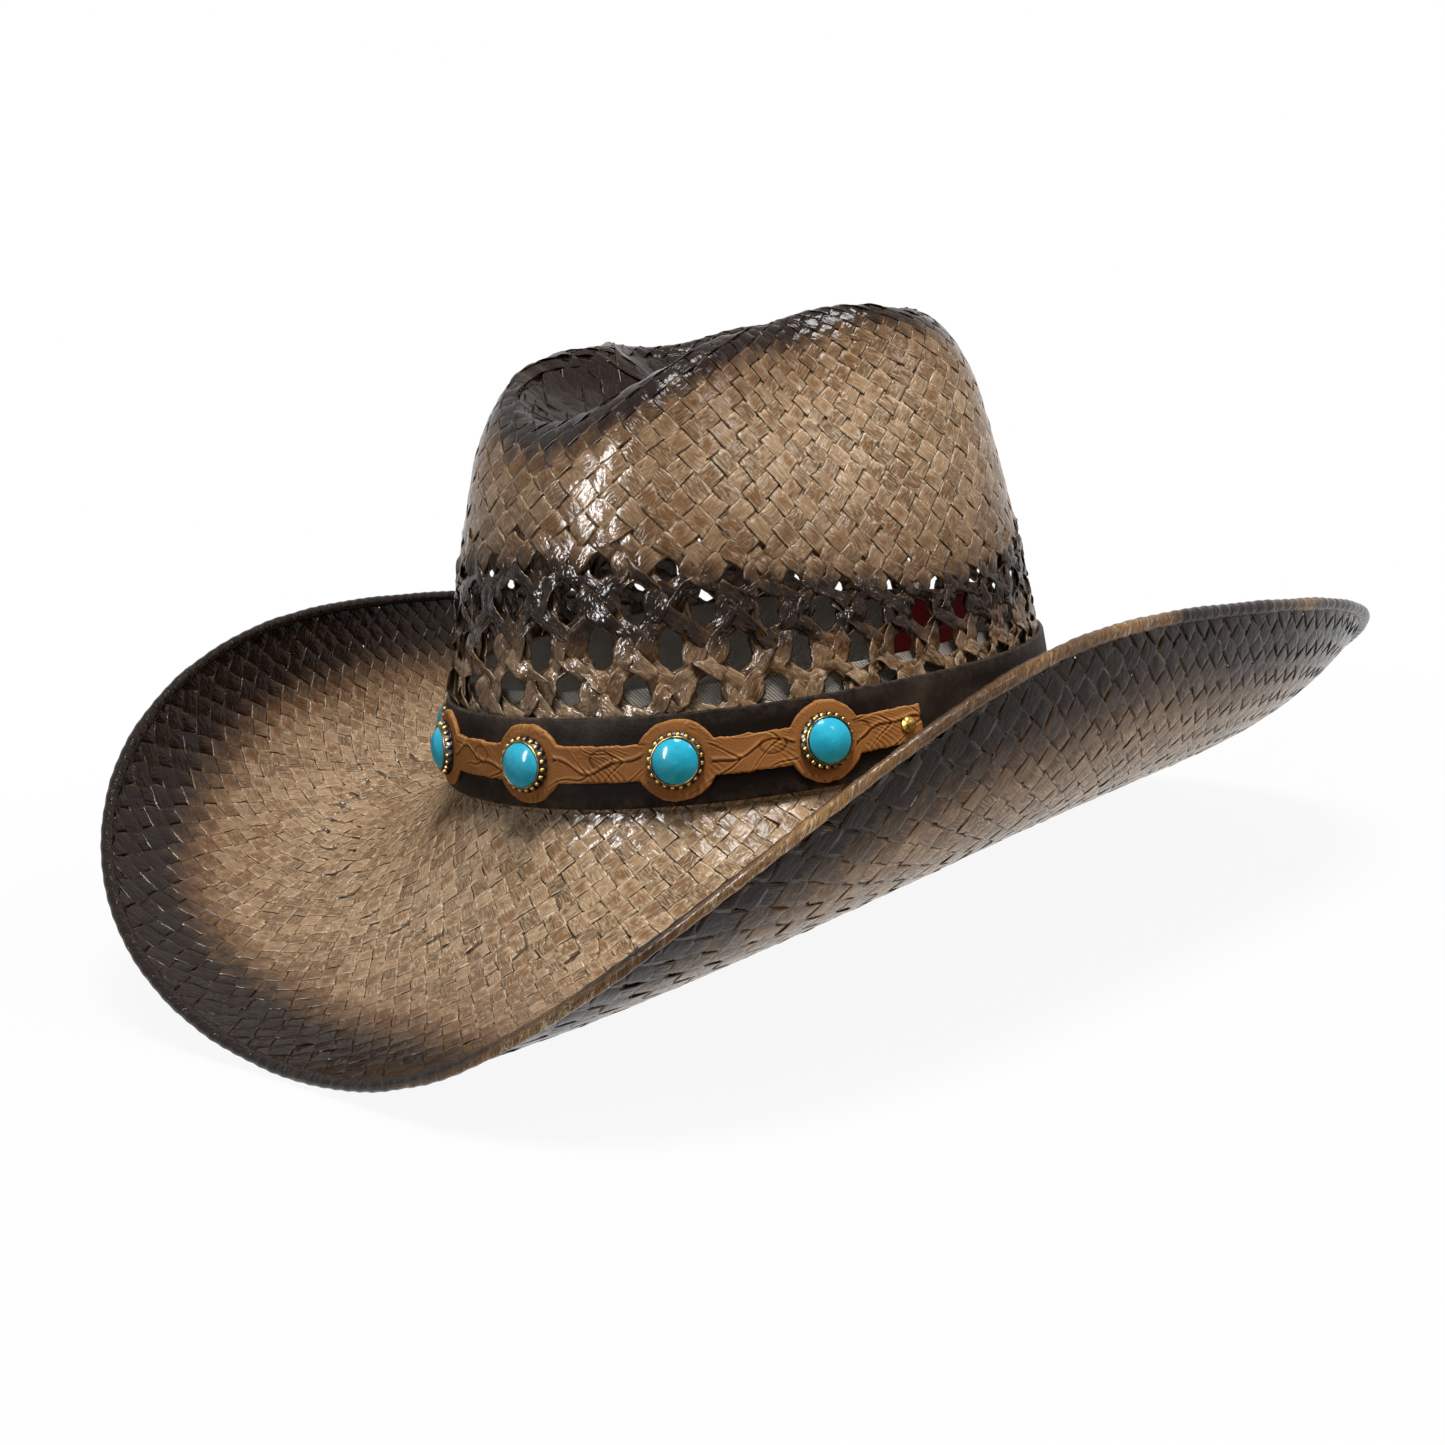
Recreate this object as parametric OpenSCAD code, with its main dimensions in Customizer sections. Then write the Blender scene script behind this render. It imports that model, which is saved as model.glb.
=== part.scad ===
// Western straw hat: an open-weave crown with a pinched teardrop crease, a brim rolled up
// at both sides, and a dark band with a tooled strap and turquoise settings.
// X points to the wearer's left, the front is -Y, and Z is up from the middle of the
// head opening. Angles run round the hat from the front. A list that follows the hat
// round holds evenly spaced values from the front to the back, the same on both sides.

/* [Crown] */
// Half length of the crown's foot, outside
crown_half_length = 105.5; // [95:0.5:115]
// Half width of the crown's foot, outside
crown_half_width = 87; // [78:0.5:96]
// Height of the brim break: front, side, back
break_height = [-1, 0, 0.5]; // [-10:0.5:10]
// Radius of the ridge, every 30 degrees from the front to the back
ridge_radius = [79, 66.5, 43, 52.5, 62.5, 60, 62]; // [40:0.5:100]
// Height of the ridge, every 30 degrees from the front to the back
ridge_height = [104, 119, 127.5, 130.5, 126, 130, 125]; // [90:0.5:150]
// Height of the lowest point of the crease
crease_height = 98; // [85:1:110]
// Share of the wall's taper that is straight
wall_lean = 0.55; // [0:0.05:1]
// Thickness of the woven straw
straw_thickness = 1.6; // [1:0.1:2.4]

/* [Vents] */
// Number of vents in one row
vent_count = 32; // [24:1:40]
// Height of each row of vents above the break, at the front and the back
vent_rows = [33, 45, 59, 69]; // [28:0.5:80]
// Share by which the rows of vents come down at the sides
vent_fall = 0.27; // [0:0.01:0.3]
// Half width of the vents in each row
vent_half_width = [3.8, 4.4, 4.4, 2.6]; // [1:0.1:6]
// Half height of the vents in each row
vent_half_height = [5, 6.2, 6.2, 3.8]; // [2:0.1:8]

/* [Brim] */
// Width of the brim along its curve: front, front quarter, side, back quarter, back
brim_width = [103.5, 126, 111.5, 111.5, 81]; // [60:0.5:130]
// Slope where the brim leaves the crown: front, front quarter, side, back quarter, back
brim_start_slope = [-63.5, -47.5, -35.5, -31, -26]; // [-70:0.5:20]
// Slope at the edge of the brim: front, front quarter, side, back quarter, back
brim_edge_slope = [2.5, 71, 96, 47.5, -6]; // [-60:0.5:130]
// Radius of the rolled hem
hem_radius = 2; // [1.5:0.1:3]
// Radius of the wire in the hem
wire_radius = 0.8; // [0.5:0.1:1.2]

/* [Inside] */
// Height of the sweatband
sweatband_height = 33; // [25:1:40]
// Thickness of the sweatband
sweatband_thickness = 1.2; // [0.8:0.1:2]
// Half of the red tab's width, in columns of the crown
tab_half_width = 2; // [1:1:4]
// Heights of the tab's lower and upper edges above the break
tab_heights = [7, 32]; // [6:1:33]

/* [Band] */
// Height of the band's lower edge above the break
band_lift = 1; // [0.5:0.5:4]
// Height of the band
band_height = 25; // [18:0.5:32]
// Thickness of the band
band_thickness = 1.6; // [1:0.1:2.4]
// Half width of the tooled strap
strap_half_width = 5; // [3:0.25:8]
// Radius of the lobe under each setting
lobe_radius = 11; // [9:0.25:12]
// Thickness of the tooled strap
strap_thickness = 1.4; // [1:0.1:2]
// Angle from the front to the middle setting
band_turn = 4.5; // [-10:0.5:10]
// Angle between two settings
setting_step = 24; // [22:1:36]
// Angle from the middle setting to the tooled strap's ends
strap_end = 67.5; // [60:0.5:100]
// Radius of the studs at the tooled strap's ends
stud_radius = 2.4; // [1.5:0.1:3.5]

/* [Settings] */
// Radius of the stones
stone_radius = 6.1; // [5:0.1:7]
// Height of a stone's dome above its bezel's collar
stone_dome = 2.2; // [1:0.1:3.5]
// Outer radius across the teeth of a bezel
bezel_radius = 8; // [7:0.1:9]
// Number of teeth round a bezel
tooth_count = 20; // [12:1:28]

/* [Hidden] */
$fn = 48;
columns = 2 * vent_count;
brim_rows = 8;
vent_corners = 6;
// How far the shoulder lies outside and below the ridge
shoulder_offset = [14, -20];
// How far the crease's inner slope lies inside the ridge, and its height as a share of the depth
slope_share = [16, 0.6];
// Radius of the crease's floor as a share of the ridge's, and its rise as a share of the depth
floor_share = [0.35, 0.12];
// Height where the lattice of vents meets plain weave again
vent_floor = 27;
vent_ceiling = 77;
// Clearance between pieces that can move apart, and between pieces that touch
running_gap = 0.4;
touching_gap = 0.04;
// The hem's bore, and how far its centre lies past the edge of the straw
hem_bore = wire_radius + 0.15;
hem_reach = wire_radius + 0.3;
// Room between the crown and the free part of the sweatband
sweatband_room = 1;
sweatband_seam = [1, 10];
// The tab's thickness and its gap to the sweatband
tab_thickness = 0.4;
tab_gap = 0.08;
// The band's own end, where the lap starts, and how far it runs on
band_start = -172;
lap_end = 200;
lap_rise = [174, 187];
band_step = 6;
strap_step = 1.25;
band_middle = band_lift + band_height / 2;
strap_base = running_gap + band_thickness + touching_gap;
setting_base = strap_base + strap_thickness + touching_gap;
setting_count = 5;
rivet_radius = 1.2;
bezel_floor = 0.9;
collar_height = 2.6;
collar_thickness = 0.8;
tooth_size = [1.5, 1.5, 1.6];
tooth_lift = 0.3;
stitch = [5, 0.6, 0.6];
lap_stitch_rows = 3;

straw = [0.65, 0.53, 0.41];
straw_light = [0.74, 0.62, 0.47];
dark_leather = [0.23, 0.19, 0.17];
tan_leather = [0.66, 0.45, 0.28];
antique_brass = [0.45, 0.36, 0.22];
turquoise = [0.25, 0.72, 0.78];
cloth = [0.35, 0.33, 0.32];
red_cloth = [0.6, 0.07, 0.08];
steel = [0.6, 0.6, 0.62];
thread = [0.8, 0.74, 0.64];

// Sum of a list of numbers
function total(v) = [for (x = v) 1] * v;

// A list of corners in the opposite order
function reversed(v) = [for (i = [len(v) - 1:-1:0]) v[i]];

// Weight of an end value in a cosine series
function end_weight(i, n) = (i == 0 || i == n) ? 0.5 : 1;

// Smooth value at angle a through values v, spaced evenly from the front to the back
function around(v, a) =
    let (n = len(v) - 1)
    total([for (k = [0:n], j = [0:n])
        end_weight(k, n) * end_weight(j, n) * 2 / n * v[j] * cos(180 * j * k / n) * cos(k * a)]);

// A point of a section, given as radius and height, turned to angle a
function turned(p, a) = [p[0] * sin(a), -p[0] * cos(a), p[1]];

// A share from 0 to 1 that eases in and out between two limits
function ease(x, limits) =
    let (t = min(1, max(0, (x - limits[0]) / (limits[1] - limits[0]))))
    t * t * (3 - 2 * t);

// The crown's section at angle a: the wall, the shoulder and the crease
function foot_radius(a) = 1 / norm([sin(a) / crown_half_width, cos(a) / crown_half_length]);
function ridge(a) = [around(ridge_radius, a), around(ridge_height, a)];
function shoulder(a) = ridge(a) + shoulder_offset;
function shoulder_rise(a) = shoulder(a)[1] - around(break_height, a);

// Height at angle a of a row of the weave that has height h at the front and the back
function row_height(a, h) = h * (1 - vent_fall * pow(sin(a), 2));

// Outer wall at angle a and height h above the break
function wall(a, h) =
    let (x = h / shoulder_rise(a), foot = foot_radius(a))
    [foot + (shoulder(a)[0] - foot) * (wall_lean * x + (1 - wall_lean) * pow(x, 3)),
        around(break_height, a) + h];

// Outer wall moved out by d, square to its slope
function wall_out(a, h, d) = moved(wall(a, h), wall(a, h + 1) - wall(a, h - 1), -d);

// Point p moved by d to the head's side of a section that runs along t
function moved(p, t, d) = p + d / norm(t) * [-t[1], t[0]];

// Control points of the section over the ridge and down into the crease
function crest_points(a) =
    let (r = ridge(a),
        floor_radius = floor_share[0] * r[0],
        floor_height = crease_height + floor_share[1] * (r[1] - crease_height))
    [wall(a, 0.6 * shoulder_rise(a)), shoulder(a), r,
        [r[0] - slope_share[0], crease_height + slope_share[1] * (r[1] - crease_height)],
        [floor_radius, floor_height], [0, crease_height], [-floor_radius, floor_height]];

// Smooth curve through the control points p, where whole numbers of t are the points
function smooth(p, t) =
    let (i = min(floor(t), len(p) - 3), x = t - i)
    p[i - 1] * (-x / 2 + x * x - pow(x, 3) / 2) + p[i] * (1 - 2.5 * x * x + 1.5 * pow(x, 3))
        + p[i + 1] * (x / 2 + 2 * x * x - 1.5 * pow(x, 3)) + p[i + 2] * (pow(x, 3) - x * x) / 2;

// Crest of the crown moved inwards by d
function crest(a, t, d) =
    let (p = crest_points(a), e = 0.01)
    moved(smooth(p, t), smooth(p, t + e) - smooth(p, max(1, t - e)), d);

// The brim's middle surface at angle a and share s of its width, as radius, height and slope:
// its upper side starts just under the outer edge of the crown's foot
function brim_section(a, s, width) =
    let (first = around(brim_start_slope, a),
        turn = around(brim_edge_slope, a) - first,
        slope = first + turn * s * width / around(brim_width, a),
        bend = around(brim_width, a) * 180 / PI / turn,
        half = straw_thickness / 2)
    [foot_radius(a) + half * sin(first) + bend * (sin(slope) - sin(first)),
        around(break_height, a) - touching_gap - half * cos(first) + bend * (cos(first) - cos(slope)),
        slope];

// Point u along and v square to the brim, from its place b
function beside_brim(b, u, v) =
    [b[0] + u * cos(b[2]) - v * sin(b[2]), b[1] + u * sin(b[2]) + v * cos(b[2])];

// Width of the straw in the brim, up to its edge inside the hem
function straw_width(a) = around(brim_width, a) - hem_reach - hem_radius;

// Centre of the hem at angle a
function hem_centre(a) = let (b = brim_section(a, 1, straw_width(a)))
    concat(beside_brim(b, hem_reach, 0), b[2]);

// Faces of a loft through sections of m corners, each quad split the same way
function loft_faces(n, m, closed) = [
    for (i = [0:(closed ? n : n - 1) - 1], j = [0:m - 1])
        let (i2 = (i + 1) % n, j2 = (j + 1) % m)
        each [[i * m + j, i * m + j2, i2 * m + j], [i2 * m + j, i * m + j2, i2 * m + j2]]];

// Solid through closed sections that go right round the hat
module ring_loft(sections) {
    m = len(sections[0]);
    polyhedron([for (s = sections) each s], loft_faces(len(sections), m, true));
}

// Solid through closed sections, with a cap at each end
module strip_loft(sections) {
    n = len(sections);
    m = len(sections[0]);
    caps = [reversed([for (j = [0:m - 1]) j]), [for (j = [0:m - 1]) (n - 1) * m + j]];
    polyhedron([for (s = sections) each s], concat(loft_faces(n, m, false), caps));
}

// Four-cornered section on the crown's wall between two heights and two offsets
function wall_section(a, low, high, inner, outer) =
    [for (c = [[low, inner], [low, outer], [high, outer], [high, inner]]) turned(wall_out(a, c[0], c[1]), a)];

// Corners of the vents: top, two on the right, bottom, two on the left
vent_shape = [[0, 1], [1, 1 / 3], [1, -1 / 3], [0, -1], [-1, -1 / 3], [-1, 1 / 3]];
vent_last = len(vent_rows) - 1;
low_heights = [0, vent_floor / 2, vent_floor];
// Steps of the section above the vents: three on the wall, the rest over the ridge
high_steps = [0, 0.3, 0.65, 1, 1.25, 1.5, 1.75, 2, 2.3, 2.65, 3, 3.5, 4, 4.5];
first_vent = len(low_heights) * columns;
first_high = first_vent + vent_count * len(vent_rows) * vent_corners;
apex = first_high + len(high_steps) * columns;

// Place in the list of corners: of the plain rings below and above the vents, and of a vent
function low(i, r) = r * columns + (i + columns) % columns;
function high(i, r) = first_high + r * columns + (i + columns) % columns;
function vent(k, j, v) =
    first_vent + (j * vent_count + (k + vent_count) % vent_count) * vent_corners + v;

// Corner v of vent k in row j, moved inwards by d
function vent_corner(k, j, v, d) =
    let (c = vent_shape[v],
        middle = (2 * k + j % 2) * 360 / columns,
        h = row_height(middle, vent_rows[j] + c[1] * vent_half_height[j]),
        a = middle + c[0] * vent_half_width[j] * 180 / PI / wall(middle, h)[0])
    turned(wall_out(a, h, -d), a);

// Corner of ring r above the vents in column i, moved inwards by d
function high_corner(i, r, d) =
    let (a = i * 360 / columns, t = high_steps[r], start = row_height(a, vent_ceiling))
    turned(t < 1 ? wall_out(a, start + (shoulder_rise(a) - start) * t, -d) : crest(a, t, d), a);

// Every corner of one side of the crown's sheet, moved inwards by d
function crown_corners(d) = concat(
    [for (h = low_heights, i = [0:columns - 1])
        let (a = i * 360 / columns) turned(wall_out(a, row_height(a, h), -d), a)],
    [for (j = [0:vent_last], k = [0:vent_count - 1], v = [0:vent_corners - 1]) vent_corner(k, j, v, d)],
    [for (r = [0:len(high_steps) - 1], i = [0:columns - 1]) high_corner(i, r, d)],
    [[0, 0, crease_height - d]]);

// Plain rings of faces: below the vents, above them, and the fan at the crease's middle
function ring_faces() = concat(
    [for (r = [0:len(low_heights) - 2], i = [0:columns - 1])
        [low(i, r), low(i + 1, r), low(i + 1, r + 1), low(i, r + 1)]],
    [for (r = [0:len(high_steps) - 2], i = [0:columns - 1])
        [high(i, r), high(i + 1, r), high(i + 1, r + 1), high(i, r + 1)]],
    [for (i = [0:columns - 1]) [high(i, len(high_steps) - 1), high(i + 1, len(high_steps) - 1), apex]]);

// Faces round vent k of row j: the strands above it, the knot on its right and the edges of the lattice
function lattice_faces(k, j) =
    let (right = k + j % 2,
        left = right - 1,
        column = 2 * k + j % 2,
        below = j > 0 ? vent(right, j - 1, 0) : low(column + 1, len(low_heights) - 1),
        above = j < vent_last ? vent(right, j + 1, 3) : high(column + 1, 0))
    concat(
        [[vent(k, j, 2), below, vent(k + 1, j, 4)],
            [vent(k, j, 2), vent(k + 1, j, 4), vent(k + 1, j, 5), vent(k, j, 1)],
            [vent(k, j, 1), vent(k + 1, j, 5), above]],
        j == 0 ? [
            [low(column, 2), low(column + 1, 2), vent(k, j, 2), vent(k, j, 3)],
            [low(column - 1, 2), low(column, 2), vent(k, j, 3), vent(k, j, 4)]] : [],
        j == vent_last ? [
            [vent(k, j, 0), vent(k, j, 1), high(column + 1, 0), high(column, 0)],
            [vent(k, j, 5), vent(k, j, 0), high(column, 0), high(column - 1, 0)]] : [
            [vent(k, j, 1), vent(right, j + 1, 3), vent(right, j + 1, 4), vent(k, j, 0)],
            [vent(k, j, 0), vent(left, j + 1, 2), vent(left, j + 1, 3), vent(k, j, 5)]]);

// The crown as one sheet: its two sides, the cut edges of the vents and the edge at the break
module crown() {
    count = apex + 1;
    side = concat(ring_faces(),
        [for (j = [0:vent_last], k = [0:vent_count - 1]) each lattice_faces(k, j)]);
    vent_edges = [for (j = [0:vent_last], k = [0:vent_count - 1], v = [0:vent_corners - 1])
        let (p = vent(k, j, v), q = vent(k, j, (v + 1) % vent_corners))
        [p, q, q + count, p + count]];
    foot_edge = [for (i = [0:columns - 1])
        [low(i, 0), low(i + 1, 0), low(i + 1, 0) + count, low(i, 0) + count]];
    color(straw)
        polyhedron(concat(crown_corners(0), crown_corners(straw_thickness)), concat(
            [for (f = side) reversed(f)],
            [for (f = side) [for (c = f) c + count]],
            vent_edges,
            foot_edge));
}

// Section of the brim: a lip under the crown, the upper side out to the hem and the lower side back
function brim_outline(a) =
    let (half = straw_thickness / 2,
        lip = wall_out(a, 0, -straw_thickness) - [0, touching_gap],
        places = [for (i = [0:brim_rows]) brim_section(a, i / brim_rows, straw_width(a))],
        lower = [for (b = places) beside_brim(b, 0, -half)],
        upper = [for (b = reversed(places)) beside_brim(b, 0, half)])
    [for (p = concat([[lip[0], lower[0][1]]], lower, upper, [lip])) turned(p, a)];

module brim() {
    color(straw)
        ring_loft([for (i = [0:columns - 1]) brim_outline(i * 360 / columns)]);
}

// Section of the hem: a tube that is open where it takes the edge of the straw
function hem_outline(a) =
    let (b = hem_centre(a),
        slot = straw_thickness / 2 + touching_gap,
        outer = 180 - asin(slot / hem_radius),
        inner = 180 - asin(slot / hem_bore),
        arc = concat(
            [for (t = [-1:1 / 3:1.01]) hem_radius * [cos(t * outer), sin(t * outer)]],
            [for (t = [1:-0.5:-1.01]) hem_bore * [cos(t * inner), sin(t * inner)]]))
    [for (p = arc) turned(beside_brim(b, p[0], p[1]), a)];

module brim_edge() {
    color(straw_light)
        ring_loft([for (i = [0:columns - 1]) hem_outline(i * 360 / columns)]);
}

module brim_wire() {
    sides = 6;
    color(steel)
        ring_loft([for (i = [0:columns - 1])
            let (a = i * 360 / columns, b = hem_centre(a))
            [for (j = [0:sides - 1])
                let (t = j * 360 / sides)
                turned(beside_brim(b, wire_radius * cos(t), wire_radius * sin(t)), a)]]);
}

// Section of the sweatband: sewn to the crown at its foot and free above
function sweatband_outline(a) =
    let (seam = straw_thickness + touching_gap,
        free = straw_thickness + sweatband_room,
        thick = sweatband_thickness,
        corners = [[sweatband_seam[0], seam + thick], [sweatband_seam[0], seam],
            [sweatband_seam[1], free], [sweatband_height, free],
            [sweatband_height, free + thick], [sweatband_seam[1], free + thick]])
    [for (c = corners) turned(wall_out(a, c[0], -c[1]), a)];

module sweatband() {
    color(cloth)
        ring_loft([for (i = [0:columns - 1]) sweatband_outline(i * 360 / columns)]);
}

// One stitch on each facet of the sweatband's foot, half sunk in the cloth
module sweatband_stitches() {
    height = (sweatband_seam[0] + sweatband_seam[1]) / 2;
    depth = straw_thickness + sweatband_room / 2 + sweatband_thickness;
    color(thread)
        for (i = [0:columns - 1])
            on_wall((i + 0.5) * 360 / columns, height, -depth)
                cube(stitch, center = true);
}

// The tab hangs at the back, on the free part of the sweatband
module inner_tab() {
    depth = straw_thickness + sweatband_room + sweatband_thickness + tab_gap;
    color(red_cloth)
        strip_loft([for (i = [-tab_half_width:tab_half_width])
            wall_section(180 + i * 360 / columns, tab_heights[0], tab_heights[1],
                -depth - tab_thickness, -depth)]);
}

// How far the band lies off the crown at angle a: its end laps over its start
function band_offset(a) = running_gap + (band_thickness + touching_gap) * ease(a, lap_rise);

module hatband() {
    color(dark_leather)
        strip_loft([for (a = [band_start:band_step:lap_end])
            wall_section(a, band_lift, band_lift + band_height,
                band_offset(a), band_offset(a) + band_thickness)]);
}

// Two upright rows of stitches through the lap
module lap_stitches() {
    spacing = band_height / (lap_stitch_rows + 1);
    color(thread)
        for (a = [lap_end - 4, lap_end - 8], i = [1:lap_stitch_rows])
            on_wall(a, band_lift + i * spacing, band_offset(lap_end) + band_thickness)
                rotate(90)
                    cube(stitch, center = true);
}

// Length along the band of an angle t at angle a from the middle setting
function band_length(t, a) = abs(t) * PI / 180 * foot_radius(a + band_turn);

// Distance along the band from the nearest setting
function setting_distance(a) =
    let (reach = setting_step * (setting_count - 1) / 2,
        nearest = min(reach, max(-reach, round(a / setting_step) * setting_step)))
    band_length(a - nearest, a);

// Half height of a round end or lobe of radius r, at distance d from its centre
function round_half(r, d) = sqrt(max(0, r * r - d * d));

// Half width of the tooled strap at angle a from the middle setting: lobes at the settings and round ends
function strap_half(a) =
    let (to_end = band_length(strap_end - abs(a), a),
        plain = round_half(strap_half_width, max(0, strap_half_width - to_end)))
    max(0.5, plain, round_half(lobe_radius, setting_distance(a)));

module band_strap() {
    color(tan_leather)
        strip_loft([for (a = [-strap_end:strap_step:strap_end])
            wall_section(a + band_turn, band_middle - strap_half(a), band_middle + strap_half(a),
                strap_base, strap_base + strap_thickness)]);
}

// Sets its children on the crown's wall, d outside it, with their Z axis pointing out
module on_wall(a, h, d) {
    step = 1;
    along = turned(wall_out(a + step, h, d), a + step) - turned(wall_out(a - step, h, d), a - step);
    rise = wall(a, h + step) - wall(a, h - step);
    translate(turned(wall_out(a, h, d), a))
        rotate([0, 0, atan2(along[1], along[0])])
            rotate([90 + atan2(rise[0], rise[1]), 0, 0])
                children();
}

// Sets its children on the tooled strap at setting k
module at_setting(k) {
    on_wall(band_turn + (k - (setting_count + 1) / 2) * setting_step, band_middle, setting_base)
        children();
}

module setting_rivets() {
    length = setting_base - running_gap;
    color(antique_brass)
        for (k = [1:setting_count])
            at_setting(k)
                translate([0, 0, -length])
                    cylinder(r = rivet_radius, h = length);
}

// A stud's dome and its shank through both straps
module stud(side) {
    inset = strap_half_width * 180 / PI / foot_radius(band_turn + side * strap_end);
    shank = setting_base - running_gap;
    color(antique_brass)
        on_wall(band_turn + side * (strap_end - inset), band_middle, setting_base) {
            intersection() {
                translate([0, 0, -stud_radius / 4])
                    sphere(r = stud_radius * 1.1);
                cylinder(r = stud_radius, h = stud_radius);
            }
            translate([0, 0, -shank])
                cylinder(r = stud_radius / 3, h = shank + touching_gap);
        }
}

// A bezel: floor, collar round the stone, and square teeth round the collar
module bezel(k) {
    bore = stone_radius + touching_gap;
    collar = bore + collar_thickness;
    color(antique_brass)
        at_setting(k) {
            cylinder(r = bore + collar_thickness / 2, h = bezel_floor);
            difference() {
                union() {
                    cylinder(r = collar, h = collar_height);
                    for (i = [1:tooth_count])
                        rotate(i * 360 / tooth_count)
                            translate([bezel_radius - tooth_size[0], -tooth_size[1] / 2, tooth_lift])
                                cube(tooth_size);
                }
                cylinder(r = bore, h = 3 * collar_height, center = true);
            }
        }
}

// A stone: a straight foot in the bezel and a dome above it
module stone(k) {
    foot = bezel_floor + touching_gap;
    dome = (stone_radius * stone_radius + stone_dome * stone_dome) / (2 * stone_dome);
    color(turquoise)
        at_setting(k)
            intersection() {
                translate([0, 0, foot])
                    cylinder(r = stone_radius, h = collar_height + stone_dome);
                translate([0, 0, collar_height + stone_dome - dome])
                    sphere(r = dome);
            }
}

crown();
brim();
brim_edge();
brim_wire();
sweatband();
sweatband_stitches();
inner_tab();
hatband();
lap_stitches();
band_strap();
setting_rivets();
stud(1);  // stud_left
stud(-1);  // stud_right
for (k = [1:setting_count]) {
    bezel(k);
    stone(k);
}
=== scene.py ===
"""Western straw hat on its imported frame: woven straw, a rolled hem and a band with set stones."""
import math

import bpy
import numpy as np
from mathutils import Matrix, Vector


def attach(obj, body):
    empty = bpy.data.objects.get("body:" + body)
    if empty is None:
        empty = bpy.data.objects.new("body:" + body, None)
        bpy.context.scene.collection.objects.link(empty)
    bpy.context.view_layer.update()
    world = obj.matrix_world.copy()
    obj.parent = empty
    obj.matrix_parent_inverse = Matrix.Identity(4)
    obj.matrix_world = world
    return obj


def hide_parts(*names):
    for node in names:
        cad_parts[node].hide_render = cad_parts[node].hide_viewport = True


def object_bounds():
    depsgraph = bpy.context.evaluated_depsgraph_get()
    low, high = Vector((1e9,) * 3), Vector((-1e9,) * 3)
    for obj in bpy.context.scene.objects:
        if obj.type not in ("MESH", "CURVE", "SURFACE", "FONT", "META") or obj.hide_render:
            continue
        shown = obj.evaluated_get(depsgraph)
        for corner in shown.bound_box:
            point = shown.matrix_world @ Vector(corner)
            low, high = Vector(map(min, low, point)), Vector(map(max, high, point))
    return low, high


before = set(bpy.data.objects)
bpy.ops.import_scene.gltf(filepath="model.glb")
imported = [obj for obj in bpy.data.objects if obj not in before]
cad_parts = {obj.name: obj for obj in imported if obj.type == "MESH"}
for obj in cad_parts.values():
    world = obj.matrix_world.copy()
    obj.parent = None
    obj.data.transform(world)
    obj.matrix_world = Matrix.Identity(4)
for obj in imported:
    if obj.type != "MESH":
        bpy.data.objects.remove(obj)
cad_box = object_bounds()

MM = 0.001
TURN = 2 * math.pi
rng = np.random.default_rng(7)

# Main shape, in millimetres, as in the part's source. Lists run from the front to the back.
FOOT_HALF_LENGTH = 105.5
FOOT_HALF_WIDTH = 87.0
BREAK_HEIGHT = [-1, 0, 0.5]
RIDGE_RADIUS = [79, 66.5, 43, 52.5, 62.5, 60, 62]
RIDGE_HEIGHT = [104, 119, 127.5, 130.5, 126, 130, 125]
# The woven ridge's dip on the wearer's right, which the part's source leaves out
DIP_PLACE = math.radians(-82)
DIP_WIDTH = math.radians(22)
DIP_DEPTH = 3.2
CREASE_HEIGHT = 98.0
WALL_LEAN = 0.55
# The shoulder, out and up from the ridge
SHOULDER = (14, -20)
# The slope into the crease, out from the ridge and as a share of the ridge's height over the crease
SLOPE = (-16, 0.6)
# The crease's floor, as a share of the ridge's radius and of its height over the crease
FLOOR_SHARE = (0.35, 0.12)
STRAW = 1.6
TOUCHING_GAP = 0.04
BRIM_WIDTH = [103.5, 126, 111.5, 111.5, 81]
BRIM_START_SLOPE = [-63.5, -47.5, -35.5, -31, -26]
BRIM_EDGE_SLOPE = [2.5, 71, 96, 47.5, -6]
HEM_RADIUS = 2.0
HEM_REACH = 1.1
VENT_CEILING = 77.0
VENT_FALL = 0.27

SWEATBAND_HEIGHT = 33.0
SWEATBAND_THICKNESS = 1.2
SWEATBAND_ROOM = 1.0
SWEATBAND_SEAM = (1.0, 10.0)
TAB_HEIGHTS = (7.0, 32.0)
TAB_DEPTH = STRAW + SWEATBAND_ROOM + SWEATBAND_THICKNESS + 0.08
TAB_THICKNESS = 0.4
TAB_RADIUS = 100.0
COLUMNS = 64

# Steps up the crown's section: 0 is the top of the vents, 1 the shoulder, 2 the ridge, 5 the crease's middle
CROWN_STEPS = np.linspace(0, 5, 41)
RIDGE_STEP = 2.0

BAND_LIFT = 1.0
BAND_HEIGHT = 25.0
BAND_MIDDLE = BAND_LIFT + BAND_HEIGHT / 2
BAND_THICKNESS = 1.6
RUNNING_GAP = 0.4
STRAP_BASE = RUNNING_GAP + BAND_THICKNESS + TOUCHING_GAP
STRAP_THICKNESS = 1.4
STRAP_HALF_WIDTH = 5.0
BAND_START = -172.0
LAP_END = 200.0
LAP_RISE = (174.0, 187.0)
BAND_TURN = 4.5
STRAP_END = 67.5
LOBE_RADIUS = 11.0
SETTING_BASE = STRAP_BASE + STRAP_THICKNESS + TOUCHING_GAP
SETTING_STEP = 24.0
SETTING_COUNT = 5
STONE_RADIUS = 6.1
BEZEL_RADIUS = 8.0
COLLAR_HEIGHT = 2.6
COLLAR_THICKNESS = 0.8
TOOTH_COUNT = 20
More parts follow.
